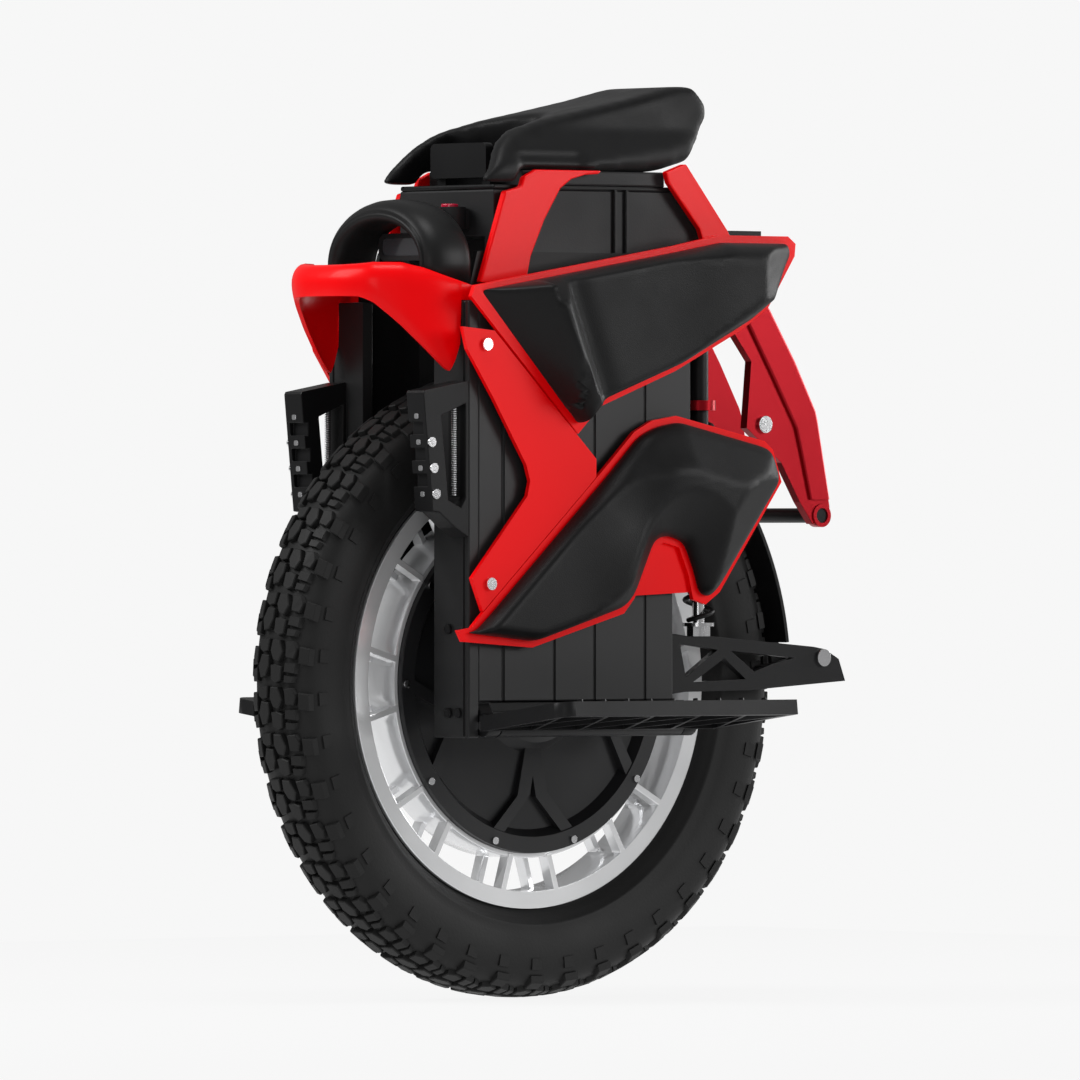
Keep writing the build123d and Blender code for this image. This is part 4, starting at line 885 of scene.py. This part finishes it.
# ---- Seat ----
# Saddle of moulded foam with a leather-like cover, on a hard base over the lid. Its tail rises and its
# front splits into two flaring flaps round the carry grip. A shallow panel is pressed in each side.

SEAT_GRID = 0.0032
SEAT_RELAX = 26
PANEL = ((52.0, -26.0), (664.0, 683.0))
PANEL_SIDE = 48.0
PANEL_DEPTH = 2.6
mesh = bmesh.new()
mesh.from_mesh(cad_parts["seat_cushion"].data)
bmesh.ops.remove_doubles(mesh, verts=mesh.verts, dist=1e-6)
data = bpy.data.meshes.new("seat_cover")
mesh.to_mesh(data)
mesh.free()
seat = bpy.data.objects.new("seat_cover", data)
scene.collection.objects.link(seat)
grid = seat.modifiers.new("grid", "REMESH")
grid.mode = "VOXEL"
grid.voxel_size = SEAT_GRID
relax = seat.modifiers.new("relax", "SMOOTH")
relax.factor = 0.6
relax.iterations = SEAT_RELAX
graph = bpy.context.evaluated_depsgraph_get()
data = bpy.data.meshes.new_from_object(seat.evaluated_get(graph))
seat.modifiers.clear()
seat.data = data
(panel_front, panel_back), (panel_low, panel_high) = PANEL
for v in data.vertices:
    x, y, z = v.co * 1000.0
    if abs(y) > PANEL_SIDE:
        share = smooth((panel_front - x) / 10) * smooth((x - panel_back) / 12)
        share *= smooth((z - panel_low + 10) / 8) * smooth((panel_high - z) / 7)
        v.co.y -= math.copysign(PANEL_DEPTH * share, y) / 1000.0
data.shade_smooth()
data.materials.clear()
data.materials.append(cover_leather)
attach(seat, "frame")
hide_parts("seat_cushion")


# ---- Pedals ----
# Black alloy foot plates with a thick rim and an open lattice beneath, hinged on a steel pin under each
# battery case. Rows of short grip studs are screwed into the deck.

PEDAL_HINGE = (92.0, 221.0)
PEDAL_TILT = math.radians(7.0)
STUD_ROWS = (34.0, 62.0, 90.0, 108.0)
STUDS_IN_ROW = 9
STUD_PITCH = 24.0
GRIP_RADIUS = 2.4
GRIP_HEIGHT = 3.0
DECK_LIFT = 7.2
wear(powder_black, "left_pedal", "right_pedal", "pedal_hangers")
wear(bright_steel, "pedal_pins")
soften(0.0014, "left_pedal", "right_pedal", "pedal_hangers")
for name, side in (("left", 1), ("right", -1)):
    rows = []
    for reach in STUD_ROWS:
        mesh = bmesh.new()
        puck(mesh, STILL, GRIP_RADIUS, GRIP_HEIGHT, 6)
        up = Vector((0.0, -side * math.sin(PEDAL_TILT), math.cos(PEDAL_TILT)))
        out = Vector((0.0, side * math.cos(PEDAL_TILT), math.sin(PEDAL_TILT)))
        spot = Vector((0.0, side * PEDAL_HINGE[0], PEDAL_HINGE[1])) + reach * out + DECK_LIFT * up
        spot.x = -STUD_PITCH * (STUDS_IN_ROW - 1) / 2
        tilt = Matrix.Rotation(side * PEDAL_TILT, 4, "X")
        bmesh.ops.transform(mesh, matrix=Matrix.Translation(spot / 1000.0) @ tilt, verts=mesh.verts)
        rows.append(repeated(finished("grip_stud", mesh, smooth=False), STUDS_IN_ROW,
                             (STUD_PITCH / 1000.0, 0.0, 0.0), STILL, powder_black))
    joined(f"{name}_pedal_studs", rows, powder_black, f"{name}_pedal")
